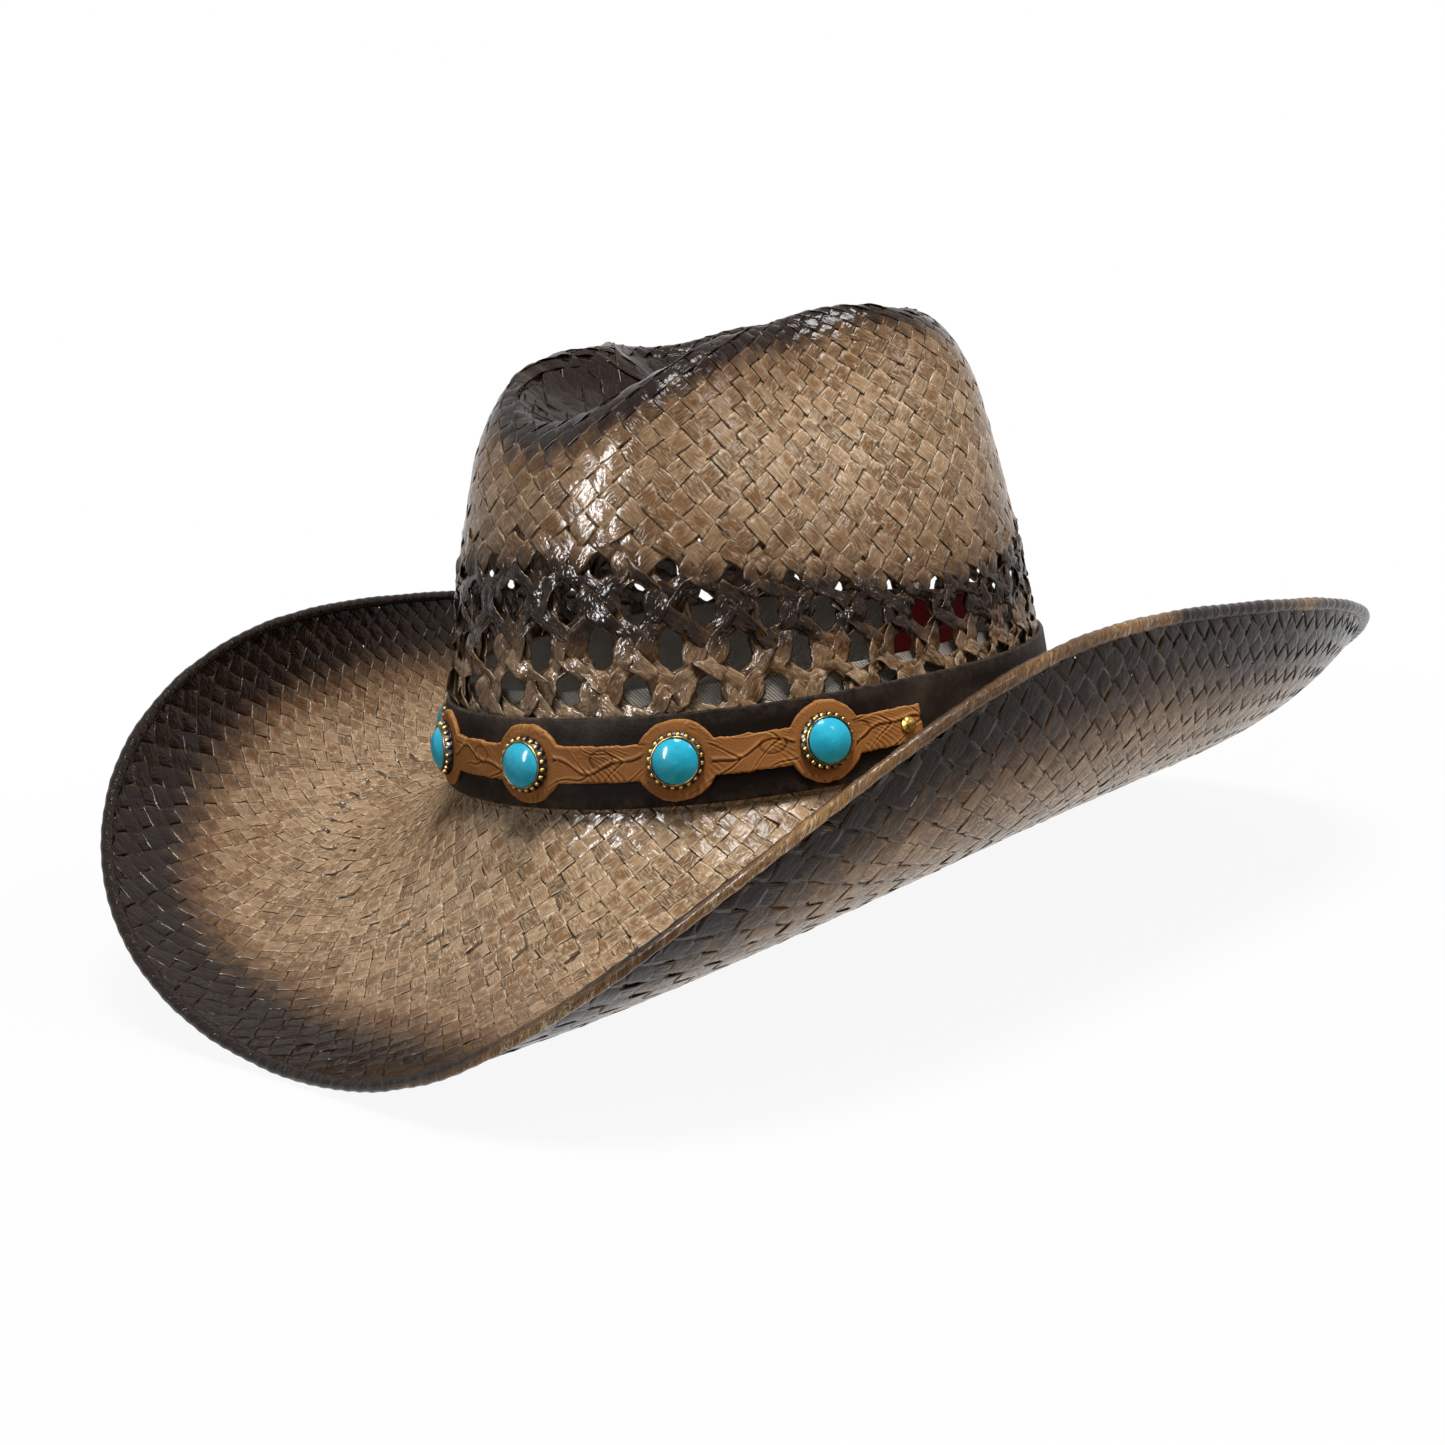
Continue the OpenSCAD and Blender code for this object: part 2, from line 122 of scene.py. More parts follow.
# Rings of a tooth from its foot up: height, half depth, half width and distance from the setting's middle
TOOTH_RINGS = (
    (0.2, 0.75, 0.72, 7.25),
    (1.2, 0.72, 0.7, 7.2),
    (1.75, 0.62, 0.6, 7.1),
    (2.05, 0.36, 0.36, 7.0))
TOOTH_WEAR = (0.0, 0.25, 0.8, 0.9)
# Stitches: length, radius and how far the ends dip in
STITCH = (5.0, 0.32, 0.4)


def around(values, angle):
    """Smooth values round the hat, through values spaced evenly from the front to the back."""
    n = len(values) - 1
    order = np.arange(n + 1)
    weight = np.where((order == 0) | (order == n), 0.5, 1.0)
    waves = np.cos(np.pi * np.outer(order, order) / n)
    series = 2 / n * weight * (waves @ (weight * np.array(values, float)))
    return np.cos(np.multiply.outer(angle, order)) @ series


def ease(x, start, end):
    """A share that goes smoothly from 0 at start to 1 at end."""
    t = np.clip((np.asarray(x, float) - start) / (end - start), 0, 1)
    return t * t * (3 - 2 * t)


def ramp(x, start, end):
    """A share that goes straight from 0 at start to 1 at end."""
    return np.clip((np.asarray(x, float) - start) / (end - start), 0, 1)


def turned(section, angle):
    """A section's radius and height, turned to its angle from the front."""
    return np.stack([section[..., 0] * np.sin(angle), -section[..., 0] * np.cos(angle), section[..., 1]], -1)


def unit(v):
    return v / np.linalg.norm(v, axis=-1, keepdims=True)


def foot_radius(angle):
    return 1 / np.hypot(np.sin(angle) / FOOT_HALF_WIDTH, np.cos(angle) / FOOT_HALF_LENGTH)


def ridge_height(angle):
    """Height of the ridge, which the hand that pinched it left lower on the wearer's right."""
    from_dip = np.angle(np.exp(1j * (np.asarray(angle, float) - DIP_PLACE)))
    return around(RIDGE_HEIGHT, angle) - DIP_DEPTH * np.exp(-(from_dip / DIP_WIDTH) ** 2)


def shoulder_rise(angle):
    return ridge_height(angle) + SHOULDER[1] - around(BREAK_HEIGHT, angle)


def wall(angle, height):
    """The crown's outer wall at a height above the break."""
    share = height / shoulder_rise(angle)
    foot = foot_radius(angle)
    inward = around(RIDGE_RADIUS, angle) + SHOULDER[0] - foot
    radius = foot + inward * (WALL_LEAN * share + (1 - WALL_LEAN) * share ** 3)
    return np.stack([radius, around(BREAK_HEIGHT, angle) + height], -1)


def off_wall(angle, height, out):
    """A place some distance out from the crown's wall, square to its slope."""
    angle, height, out = np.broadcast_arrays(angle, height, np.asarray(out, float))
    rise = wall(angle, height + 1) - wall(angle, height - 1)
    square = unit(np.stack([rise[..., 1], -rise[..., 0]], -1))
    return turned(wall(angle, height) + out[..., None] * square, angle)


def wall_frame(angle, height, out):
    """A place off the crown's wall, with the directions round the hat, up the wall and out from it."""
    e = 0.01
    along = unit(off_wall(angle + e, height, out) - off_wall(angle - e, height, out))
    up = unit(off_wall(angle, height + 0.5, out) - off_wall(angle, height - 0.5, out))
    return off_wall(angle, height, out), along, up, np.cross(along, up)


def crest(angle, step):
    """The section over the ridge: step 1 is the shoulder, 2 the ridge and 5 the middle of the crease."""
    radius = around(RIDGE_RADIUS, angle)
    height = ridge_height(angle)
    floor_radius = FLOOR_SHARE[0] * radius
    floor_height = CREASE_HEIGHT + FLOOR_SHARE[1] * (height - CREASE_HEIGHT)
    points = np.stack([
        wall(angle, 0.6 * shoulder_rise(angle)),
        np.stack([radius + SHOULDER[0], height + SHOULDER[1]], -1),
        np.stack([radius, height], -1),
        np.stack([radius + SLOPE[0], CREASE_HEIGHT + SLOPE[1] * (height - CREASE_HEIGHT)], -1),
        np.stack([floor_radius, floor_height], -1),
        np.stack([0 * radius, 0 * radius + CREASE_HEIGHT], -1),
        np.stack([-floor_radius, floor_height], -1)])
    first = np.clip(np.floor(step).astype(int), 1, 4)
    x = step - first
    weights = [
        -x / 2 + x ** 2 - x ** 3 / 2,
        1 - 2.5 * x ** 2 + 1.5 * x ** 3,
        x / 2 + 2 * x ** 2 - 1.5 * x ** 3,
        (x ** 3 - x ** 2) / 2]
    place = np.indices(first.shape)
    return sum(w[..., None] * points[(first - 1 + k, *place)] for k, w in enumerate(weights))


def row_height(angle, reach):
    """Height of a row of the weave, which comes down at the sides."""
    return reach * (1 - VENT_FALL * np.sin(angle) ** 2)


def crown_section(angle, step):
    """The crown's section above the vents."""
    angle, step = np.broadcast_arrays(angle, step)
    start = row_height(angle, VENT_CEILING)
    on_wall = wall(angle, start + (shoulder_rise(angle) - start) * np.minimum(step, 1))
    return np.where((step < 1)[..., None], on_wall, crest(angle, step))


def crown_reaches():
    """How far up the crown each step of the section is, at angles all the way round."""
    angle = np.linspace(0, TURN, 97)
    section = crown_section(angle[:, None], CROWN_STEPS[None, :])
    lengths = np.linalg.norm(np.diff(section, axis=1), axis=-1)
    return angle, VENT_CEILING + np.concatenate([0 * angle[:, None], np.cumsum(lengths, 1)], 1)


REACH_ANGLES, STEP_REACHES = crown_reaches()


def reach_at(angle, number):
    """Reach of one of the section's steps, given by its number in their list."""
    return np.interp(np.mod(angle, TURN), REACH_ANGLES, STEP_REACHES[:, number])


def crown_step(angle, reach):
    """Step of the section at a reach up the crown."""
    passed = np.zeros(np.broadcast(angle, reach).shape)
    low = reach_at(angle, 0)
    for number in range(1, len(CROWN_STEPS)):
        high = reach_at(angle, number)
        passed += np.clip((reach - low) / (high - low), 0, 1)
        low = high
    return passed * CROWN_STEPS[1]


def crown_surface(angle, reach):
    """The crown's outer surface at a distance up from the break, over the ridge and into the crease."""
    angle, reach = np.broadcast_arrays(angle, reach)
    below = wall(angle, row_height(angle, reach))
    above = crown_section(angle, crown_step(angle, reach))
    return turned(np.where((reach < VENT_CEILING)[..., None], below, above), angle)


def straw_width(angle):
    return around(BRIM_WIDTH, angle) - HEM_REACH - HEM_RADIUS


def brim_section(angle, along):
    """The brim's middle surface at a distance along it, and its slope."""
    first = np.radians(around(BRIM_START_SLOPE, angle))
    turn = np.radians(around(BRIM_EDGE_SLOPE, angle)) - first
    bend = around(BRIM_WIDTH, angle) / turn
    slope = first + along / bend
    radius = foot_radius(angle) + STRAW / 2 * np.sin(first) + bend * (np.sin(slope) - np.sin(first))
    height = around(BREAK_HEIGHT, angle) - TOUCHING_GAP - STRAW / 2 * np.cos(first)
    return np.stack([radius, height + bend * (np.cos(first) - np.cos(slope))], -1), slope


def brim_surface(angle, share):
    """The brim's middle surface at a share of the straw's width."""
    angle, share = np.broadcast_arrays(angle, share)
    return turned(brim_section(angle, share * straw_width(angle))[0], angle)


def surface_frame(surface, angle, reach, reach_step, up):
    """Points of a surface and its unit normals; up turns the normals outwards or upwards."""
    e = 0.002
    around_hat = surface(angle + e, reach) - surface(angle - e, reach)
    along_section = surface(angle, reach + reach_step) - surface(angle, reach - reach_step)
    return surface(angle, reach), up * unit(np.cross(around_hat, along_section))


# Section of a straw strand: seven corners, across from edge to edge and up or down
STRAND_ACROSS = np.array([-1, -0.75, 0, 0.75, 1, 0.7, -0.7])
STRAND_UP = np.array([0, 1, 1.15, 1, 0, -1, -1])
STRAND_CORNERS = len(STRAND_ACROSS)

# These keep the material's patterns on one strand apart from those on the next
ALONG_SPREAD = 500
ACROSS_SHIFT = 23.7


def smooth_noise(count, spacing, amount):
    """Noise along a strand that changes over some steps."""
    knots = rng.normal(0, amount, int(count / spacing) + 3)
    return np.interp(np.arange(count) / spacing, np.arange(len(knots)), knots)


class Weave:
    """Strands gathered into one mesh, with the values that the straw's material reads."""

    def __init__(self):
        self.rings = []
        self.values = []

    def add(self, centre, normal, lift, half_width, thickness, spray, wave, phase, twist=0.0, cup=0.0,
            cuts=(), crumple=0.0):
        """One strand along a line of points. lift is its height, wave its height from -1 to 1, phase its
        place among the strands it crosses, and spray the dark colour on its upper and on its lower side.
        Each cut is a direction and the room left in it."""
        count = len(centre)
        tangent = unit(np.gradient(centre, axis=0))
        across = unit(np.cross(normal, tangent))
        up = np.cross(tangent, across)
        c, s = np.cos(twist + np.zeros(count))[:, None], np.sin(twist + np.zeros(count))[:, None]
        across, up = across * c + up * s, up * c - across * s
        x = STRAND_ACROSS[None, :] * (half_width + np.zeros(count))[:, None]
        y = STRAND_UP[None, :] * (thickness / 2 + np.zeros(count))[:, None]
        y = y + STRAND_ACROSS[None, :] ** 2 * (cup + np.zeros(count))[:, None]
        start = centre + normal * (lift + np.zeros(count))[:, None]
        ring = start[:, None] + across[:, None] * x[..., None] + up[:, None] * y[..., None]
        for out, room in cuts:
            beyond = np.maximum(0, x * (across * out).sum(1)[:, None] - room[:, None])
            ring = ring - tangent[:, None] * (beyond / (tangent * out).sum(1)[:, None])[..., None]
        length = np.concatenate([[0], np.cumsum(np.linalg.norm(np.diff(centre, axis=0), axis=1))])
        side = np.sign(STRAND_UP)
        edge = STRAND_UP == 0
        # raised is -1 on the strand's edges and low where it dives; the straw's material reads it for painted
        # shade in the gaps and a painted highlight on the rims.
        raised = np.where(edge[None, :], -1.0, wave[:, None] * side[None, :])
        top, bottom = spray
        sprayed = np.where(side[None, :] > 0, top[:, None], bottom[:, None])
        sprayed = np.where(edge[None, :], (top + bottom)[:, None] / 2, sprayed)
        number = len(self.rings)
        cell = np.round(phase).astype(int)
        cells = cell.max() - cell.min() + 1
        tone = rng.normal(0, 0.5) + rng.normal(0, 1, cells)[cell - cell.min()]
        stains = np.maximum(0, rng.normal(0.4, 0.4, cells))
        middle = np.cos(np.pi * (phase - cell)) ** 2
        stain = (stains[cell - cell.min()] * middle)[:, None] * (1 - STRAND_ACROSS ** 2)[None, :]
        self.rings.append(ring)
        self.values.append(dict(
            along=np.repeat(length[:, None] + ALONG_SPREAD * rng.random(), STRAND_CORNERS, 1),
            across=x + ACROSS_SHIFT * number,
            raised=raised,
            spray=sprayed,
            stain=stain,
            rim=np.repeat(STRAND_ACROSS[None, :] ** 2, count, 0),
            crumple=np.repeat((crumple + np.zeros(count))[:, None], STRAND_CORNERS, 1),
            tone=np.repeat(tone[:, None], STRAND_CORNERS, 1)))

    def build(self, name):
        """The object, with one map that lays the strands side by side for a texture."""
        quads, caps, map_quads, map_caps = [], [], [], []
        first = 0
        longest = max(len(r) for r in self.rings)
        rows = len(self.rings)
        for row, ring in enumerate(self.rings):
            count = len(ring)
            quads.append(ring_quads(count, STRAND_CORNERS) + first)
            caps += end_caps(first, count, STRAND_CORNERS)
            i, j = np.meshgrid(np.arange(count - 1), np.arange(STRAND_CORNERS), indexing="ij")
            u = np.stack([i, i, i + 1, i + 1], -1) / longest
            v = (row + (np.stack([j, j + 1, j + 1, j], -1) + 0.5) / (STRAND_CORNERS + 1)) / rows
            map_quads.append(np.stack([u, v], -1).reshape(-1, 4, 2))
            map_caps += [np.full((STRAND_CORNERS, 2), (row + 0.5) / rows) * [0, 1]] * 2
            first += count * STRAND_CORNERS
        corners = np.concatenate([r.reshape(-1, 3) for r in self.rings])
        faces = [*np.concatenate(quads).tolist(), *caps]
        values = {k: np.concatenate([v[k].ravel() for v in self.values]) for k in self.values[0]}
        piece = add_form(name, corners, faces, values)
        layout = np.concatenate([np.concatenate(map_quads).reshape(-1, 2), np.concatenate(map_caps)])
        piece.data.uv_layers.new(name="OFBake").uv.foreach_set("vector", layout.astype(np.float32).ravel())
        return piece


def add_object(name, mesh):
    piece = bpy.data.objects.new(name, mesh)
    bpy.context.scene.collection.objects.link(piece)
    return piece


def ring_quads(count, corners, closed=False):
    """Quads from each ring of corners to the next; closed joins the last ring to the first."""
    i, j = np.meshgrid(np.arange(count if closed else count - 1), np.arange(corners), indexing="ij")
    i2, j2 = (i + 1) % count, (j + 1) % corners
    quads = np.stack([i * corners + j, i * corners + j2, i2 * corners + j2, i2 * corners + j], -1)
    return quads.reshape(-1, 4)


def end_caps(first, count, corners):
    """Faces that close the first and the last of some rings of corners."""
    last = first + (count - 1) * corners
    return [list(range(first, first + corners))[::-1], list(range(last, last + corners))]


def add_form(name, corners, faces, values, flat_caps=False):
    """An object of corners in millimetres, with values at its corners for the material to read."""
    mesh = bpy.data.meshes.new(name)
    mesh.from_pydata((corners * MM).tolist(), [], faces)
    for key, data in values.items():
        mesh.attributes.new(key, "FLOAT", "POINT").data.foreach_set("value", data.astype(np.float32))
    mesh.polygons.foreach_set("use_smooth", [len(f) == 4 or not flat_caps for f in faces])
    mesh.update()
    return add_object(name, mesh)


# The weave: strands run up the crown both ways round, and gather in pairs between the vents
CROWN_STRANDS = 64
TIP_STEP = 2.42
VENT_ROWS = [33, 45, 59, 69]
KNOT_GATHER = 0.45
PAIR_GATHER = 0.8
KNOT_LENGTH = 0.45
WEAVE_LIFT = 0.14
STRAND_THICKNESS = 0.2
STRAND_FILL = 1.1
SAMPLES_PER_CELL = 5
WIDEST_HALF = 3.8
REACH_STEP = 0.25


def vent_row(reach):
    """Place among the rows of vents: whole numbers are their middles."""
    row_step = np.diff(VENT_ROWS)
    places = [VENT_ROWS[0] - row_step[0], *VENT_ROWS, VENT_ROWS[-1] + row_step[-1]]
    return np.interp(reach, places, range(-1, len(VENT_ROWS) + 1))


def plain_advance():
    """Reach up the crown, and how many columns a strand has gone round by then: row j of vents is at j."""
    reach = np.arange(-7, 190, REACH_STEP)
    angle = np.linspace(0, TURN, 49)[:-1]
    edge = reach_at(angle, np.searchsorted(CROWN_STEPS, TIP_STEP))
    points = crown_surface(angle[:, None], np.minimum(reach[None, :], edge[:, None]))
    girth = np.linalg.norm(np.roll(points, -1, 0) - points, axis=-1).sum(0)
    rate = 0.95 * CROWN_STRANDS / girth
    row = vent_row(reach)
    row_rate = np.gradient(row, reach) * (1 - KNOT_LENGTH * np.cos(TURN * row))
    inside = np.minimum(ease(reach, 23, 33), 1 - ease(reach, 69, 79))
    rate = rate * (1 - inside) + row_rate * inside
    advance = np.cumsum(rate) * REACH_STEP
    return reach, advance - np.interp(VENT_ROWS[1], reach, advance) + 1


def vented_share(reach):
    """How far the weave is opened into vents: 0 in plain weave and 1 between the middle rows."""
    return ease(reach, 22, 31) * (1 - 0.6 * ease(reach, 65, 75)) * (1 - ease(reach, 75, 82))


def crossing_phase(advance, number, squeeze):
    """A strand's place among the strands that it crosses: whole numbers are crossings."""
    side = np.where(number % 2 == 0, -1, 1)
    y = advance + number // 2 + side * (1 - squeeze) / 4
    pair = np.round(y)
    away = y - pair
    inner = (1 - squeeze) / 4
    near = 2 * pair + 0.5 + away * 0.5 / inner
    far = 2 * pair + 0.5 + np.sign(away) * (0.5 + (np.abs(away) - inner) / (1 - 2 * inner))
    return np.where(np.abs(away) < inner, near, far)


def woven_height(phase, number, sharpness=2.6):
    """Height of a strand from -1 to 1: over one crossing strand and under the next."""
    return np.where(number % 2 == 0, 1, -1) * np.tanh(sharpness * np.cos(np.pi * phase)) / np.tanh(sharpness)


def mottled(angle, reach, amount):
    """Uneven edge of a sprayed zone."""
    return amount * (np.sin(3 * angle + 0.4) + 0.7 * np.sin(7 * angle + 1.9 + 0.03 * reach)
                     + 0.5 * np.sin(13 * angle - 0.05 * reach))


def crown_spray(angle, reach):
    """Dark spray on the crown: the top down to just below the ridge, and a belt over the upper vents."""
    reach = reach + mottled(angle, reach, 1.3)
    belt = np.minimum(ramp(reach, 36, 52), ramp(reach, 80, 66))
    tint = 0.2 + 0.25 * np.minimum(ramp(reach, 24, 46), ramp(reach, 100, 74))
    to_ridge = reach_at(angle, np.searchsorted(CROWN_STEPS, RIDGE_STEP)) - reach
    tint = np.maximum(tint, 0.45 * ramp(to_ridge, 48, 18))
    return np.maximum(np.maximum(0.88 * belt, 1.15 * ramp(to_ridge, 24, 3)), tint)


def crown_strands(way):
    """The strands that run up the crown one way round; way is 1 or -1."""
    weave = Weave()
    reach_table, advance_table = plain_advance()
    pitch = TURN / CROWN_STRANDS
    low = np.interp(-6, reach_table, advance_table)
    high = np.interp(185, reach_table, advance_table)
    sample = 0.5 / SAMPLES_PER_CELL
    for i in range(CROWN_STRANDS):
        advance = np.arange(math.ceil(low / sample), high / sample) * sample + 0.25
        reach = np.interp(advance, advance_table, reach_table)
        step = crown_step(way * pitch * (i + 1 + advance), reach)
        count = np.argmax(step > TIP_STEP + 0.14 + rng.uniform(-0.04, 0.04))
        advance, reach, step = advance[:count], reach[:count], step[:count]
        vented = vented_share(reach)
        knot = np.cos(np.pi * vent_row(reach)) ** 2
        squeeze = vented * (PAIR_GATHER + (KNOT_GATHER - PAIR_GATHER) * knot)
        side = -1 if i % 2 == 0 else 1
        column = 2 * (i // 2) + 1 + side * 0.5 * (1 - squeeze) + smooth_noise(count, 6, 0.035)
        angle = way * pitch * (column + advance)
        phase = crossing_phase(advance, i, squeeze)
        wave = woven_height(phase, i + (way < 0))
        centre, normal = surface_frame(crown_surface, angle, reach, 0.2, 1)
        girth = np.linalg.norm(centre[:, :2], axis=1)
        full = 0.5 * STRAND_FILL * girth * pitch * math.sqrt(0.5)
        half_width = np.minimum(full * (1 + smooth_noise(count, 9, 0.04)), WIDEST_HALF)
        half_width = half_width * (1 - vented * (0.36 - 0.28 * knot))
        tucked = ease(step, TIP_STEP - 0.14, TIP_STEP + 0.14)
        lift = -STRAW / 2 + wave * (WEAVE_LIFT + 0.3 * vented) - 1.1 * tucked
        lift = lift + smooth_noise(count, 2.5, 0.03)
        lift = lift + vented * (side * 0.3 * (1 - knot) + smooth_noise(count, 1.6, 0.12))
        half_width = half_width * (1 + smooth_noise(count, 2.2, 0.04) + vented * smooth_noise(count, 2, 0.12))
        twist = smooth_noise(count, 4, 0.04)
        twist = twist + vented * (smooth_noise(count, 5, 0.25) + smooth_noise(count, 2, 0.12))
        cup = smooth_noise(count, 3, 0.06) + vented * smooth_noise(count, 2.2, 0.4)
        spray = crown_spray(angle, reach)
        down = unit(crown_surface(angle, reach - 0.2) - crown_surface(angle, reach + 0.2))
        thickness = STRAND_THICKNESS * (1 + 1.2 * vented)
        cuts = [(down, reach + 2.2)]
        weave.add(centre, normal, lift, half_width, thickness, (spray, 0.75 * spray), wave, phase, twist, cup,
                  cuts, vented)
    return weave


# The brim starts with this many strands each way; a third strand joins each pair as the brim gets wider
BRIM_STRANDS = 96
JOIN_SHARE = 0.34
JOIN_LENGTH = 0.14


def brim_tables():
    """Share of the brim's width, columns gone round, and cells passed, for a strand at the diagonal."""
    share = np.linspace(-0.02, 1.03, 400)
    angle = np.linspace(0, TURN, 49)[:-1]
    points = brim_surface(angle[:, None], share[None, :])
    girth = np.linalg.norm(np.roll(points, -1, 0) - points, axis=-1).sum(0)
    rate = BRIM_STRANDS * straw_width(angle).mean() / girth
    advance = np.concatenate([[0], np.cumsum((rate[1:] + rate[:-1]) / 2 * np.diff(share))])
    rate = 2 + ease(share, JOIN_SHARE, JOIN_SHARE + JOIN_LENGTH)
    cell = np.concatenate([[0], np.cumsum((rate[1:] + rate[:-1]) / 2 * np.diff(advance))])
    return share, advance, cell


def brim_strand(weave, tables, way, place, numbers, joins):
    """One strand of the brim. place and numbers hold its column and its number before and after the third
    strands join; joins says that it is one of them."""
    share_table, advance_table, cell_table = tables
    start = JOIN_SHARE + 0.02 * math.sin(5.3 * (numbers[1] // 3))
    first = start + 0.02 if joins else -0.015
    low, high = np.interp([first, 1.027], share_table, cell_table)
    cell = np.arange(math.ceil(low * SAMPLES_PER_CELL), high * SAMPLES_PER_CELL) / SAMPLES_PER_CELL
    share = np.interp(cell, cell_table, share_table)
    advance = np.interp(cell, cell_table, advance_table)
    count = len(share)
    grown = ease(share, start, start + JOIN_LENGTH)
    column = place[0] + (place[1] - place[0]) * grown + smooth_noise(count, 6, 0.03)
    pitch = TURN / BRIM_STRANDS
    angle = way * pitch * (column + advance)
    phases = 2 * advance + numbers[0], 3 * advance + numbers[1]
    waves = [woven_height(x, n + (way < 0)) for x, n in zip(phases, numbers)]
    wave = waves[0] + (waves[1] - waves[0]) * grown
    centre, normal = surface_frame(brim_surface, angle, share, 0.002, -1)
    spacing = brim_surface(angle + pitch / 2, share) - brim_surface(angle - pitch / 2, share)
    half_width = 0.5 * STRAND_FILL * np.linalg.norm(spacing, axis=1) * math.sqrt(0.5) * (1 - grown / 3)
    half_width = half_width * (1 + smooth_noise(count, 9, 0.04) + smooth_noise(count, 2.2, 0.04))
    lift = wave * WEAVE_LIFT + smooth_noise(count, 2.5, 0.03)
    if joins:
        lift = lift - 0.35 * (1 - ease(share, start + 0.02, start + 0.06))
    room = straw_width(angle) * (1 - share)
    to_edge = room + mottled(angle, share * 100, 1.6)
    out = unit(brim_surface(angle, share + 0.002) - brim_surface(angle, share - 0.002))
    cuts = [(out, room + 0.3), (-out, straw_width(angle) * share + 0.5)]
    top = np.maximum(ramp(to_edge, 48, 14), 0.35 * ramp(to_edge, 75, 40))
    bottom = np.maximum(ramp(to_edge, 42, 6), 0.4 * ramp(to_edge, 80, 30))
    phase = np.where(grown < 0.5, *phases)
    weave.add(centre, normal, lift, half_width, STRAND_THICKNESS, (top, bottom), wave, phase,
              smooth_noise(count, 4, 0.03), smooth_noise(count, 3, 0.06), cuts)


def brim_strands(way, half):
    """Half of the strands that run out over the brim one way round; half is 0 or 1."""
    weave = Weave()
    tables = brim_tables()
    pairs = BRIM_STRANDS // 4
    for pair in range(half * pairs, (half + 1) * pairs):
        for k in range(3):
            before = 2 * pair + min(k, 1)
            place = before + 0.5, 2 * pair + (k + 0.5) * 2 / 3
            brim_strand(weave, tables, way, place, (before, 3 * pair + k), k == 2)
    return weave


TIP_PITCH = 5.6


def tip_step(angle, radius):
    """The step at which the crease's section has a given radius, found by halving."""
    low = np.full(angle.shape, 2.0)
    high = np.full(angle.shape, 5.0)
    for _ in range(24):
        middle = (low + high) / 2
        inside = crest(angle, middle)[..., 0] < radius
        high = np.where(inside, middle, high)
        low = np.where(inside, low, middle)
    return (low + high) / 2


def tip_strands(way):
    """Straight strands across the crease, one way over the diagonal."""
    weave = Weave()
    sample = TIP_PITCH / SAMPLES_PER_CELL
    for i in range(-15, 16):
        sideways = (i + 0.5) * TIP_PITCH
        along = np.arange(-17 * SAMPLES_PER_CELL, 17 * SAMPLES_PER_CELL + 1) * sample
        x = (along - way * sideways) * math.sqrt(0.5)
        y = (way * along + sideways) * math.sqrt(0.5)
        angle = np.arctan2(x, -y)
        radius = np.hypot(x, y)
        step = tip_step(angle, np.maximum(radius, 0.05))
        inside = radius < crest(angle, np.full(angle.shape, TIP_STEP - 0.03))[..., 0]
        if inside.sum() < 6:
            continue
        pick = np.flatnonzero(inside)
        pick = max(np.split(pick, np.flatnonzero(np.diff(pick) > 1) + 1), key=len)
        centre, normal = tip_frame(x[pick], y[pick])
        count = len(pick)
        phase = along[pick] / TIP_PITCH - 0.5
        wave = woven_height(phase, i + (way < 0))
        tuck = ease(step[pick], TIP_STEP + 0.35, TIP_STEP)
        lift = -STRAW / 2 + wave * WEAVE_LIFT - 0.4 * tuck + smooth_noise(count, 2.5, 0.05)
        slope = (normal[:, 1] - way * normal[:, 0]) * math.sqrt(0.5) / normal[:, 2]
        spacing = TIP_PITCH * np.minimum(np.hypot(1, slope), 2.4)
        half_width = 0.5 * STRAND_FILL * spacing * (1 + smooth_noise(count, 9, 0.04))
        dark = np.full(count, 1.15)
        weave.add(centre, normal, lift, half_width, STRAND_THICKNESS, (dark, 0.6 * dark), wave, phase,
                  smooth_noise(count, 4, 0.04), smooth_noise(count, 3, 0.06))
    return weave


def tip_frame(x, y):
    """Points of the crease above places in plan, and its unit normals."""
    def height(px, py):
        angle = np.arctan2(px, -py)
        return crest(angle, tip_step(angle, np.maximum(np.hypot(px, py), 0.05)))[..., 1]
    e = 0.3
    slope_x = (height(x + e, y) - height(x - e, y)) / (2 * e)
    slope_y = (height(x, y + e) - height(x, y - e)) / (2 * e)
    normal = unit(np.stack([-slope_x, -slope_y, np.ones_like(x)], -1))
    return np.stack([x, y, height(x, y)], -1), normal


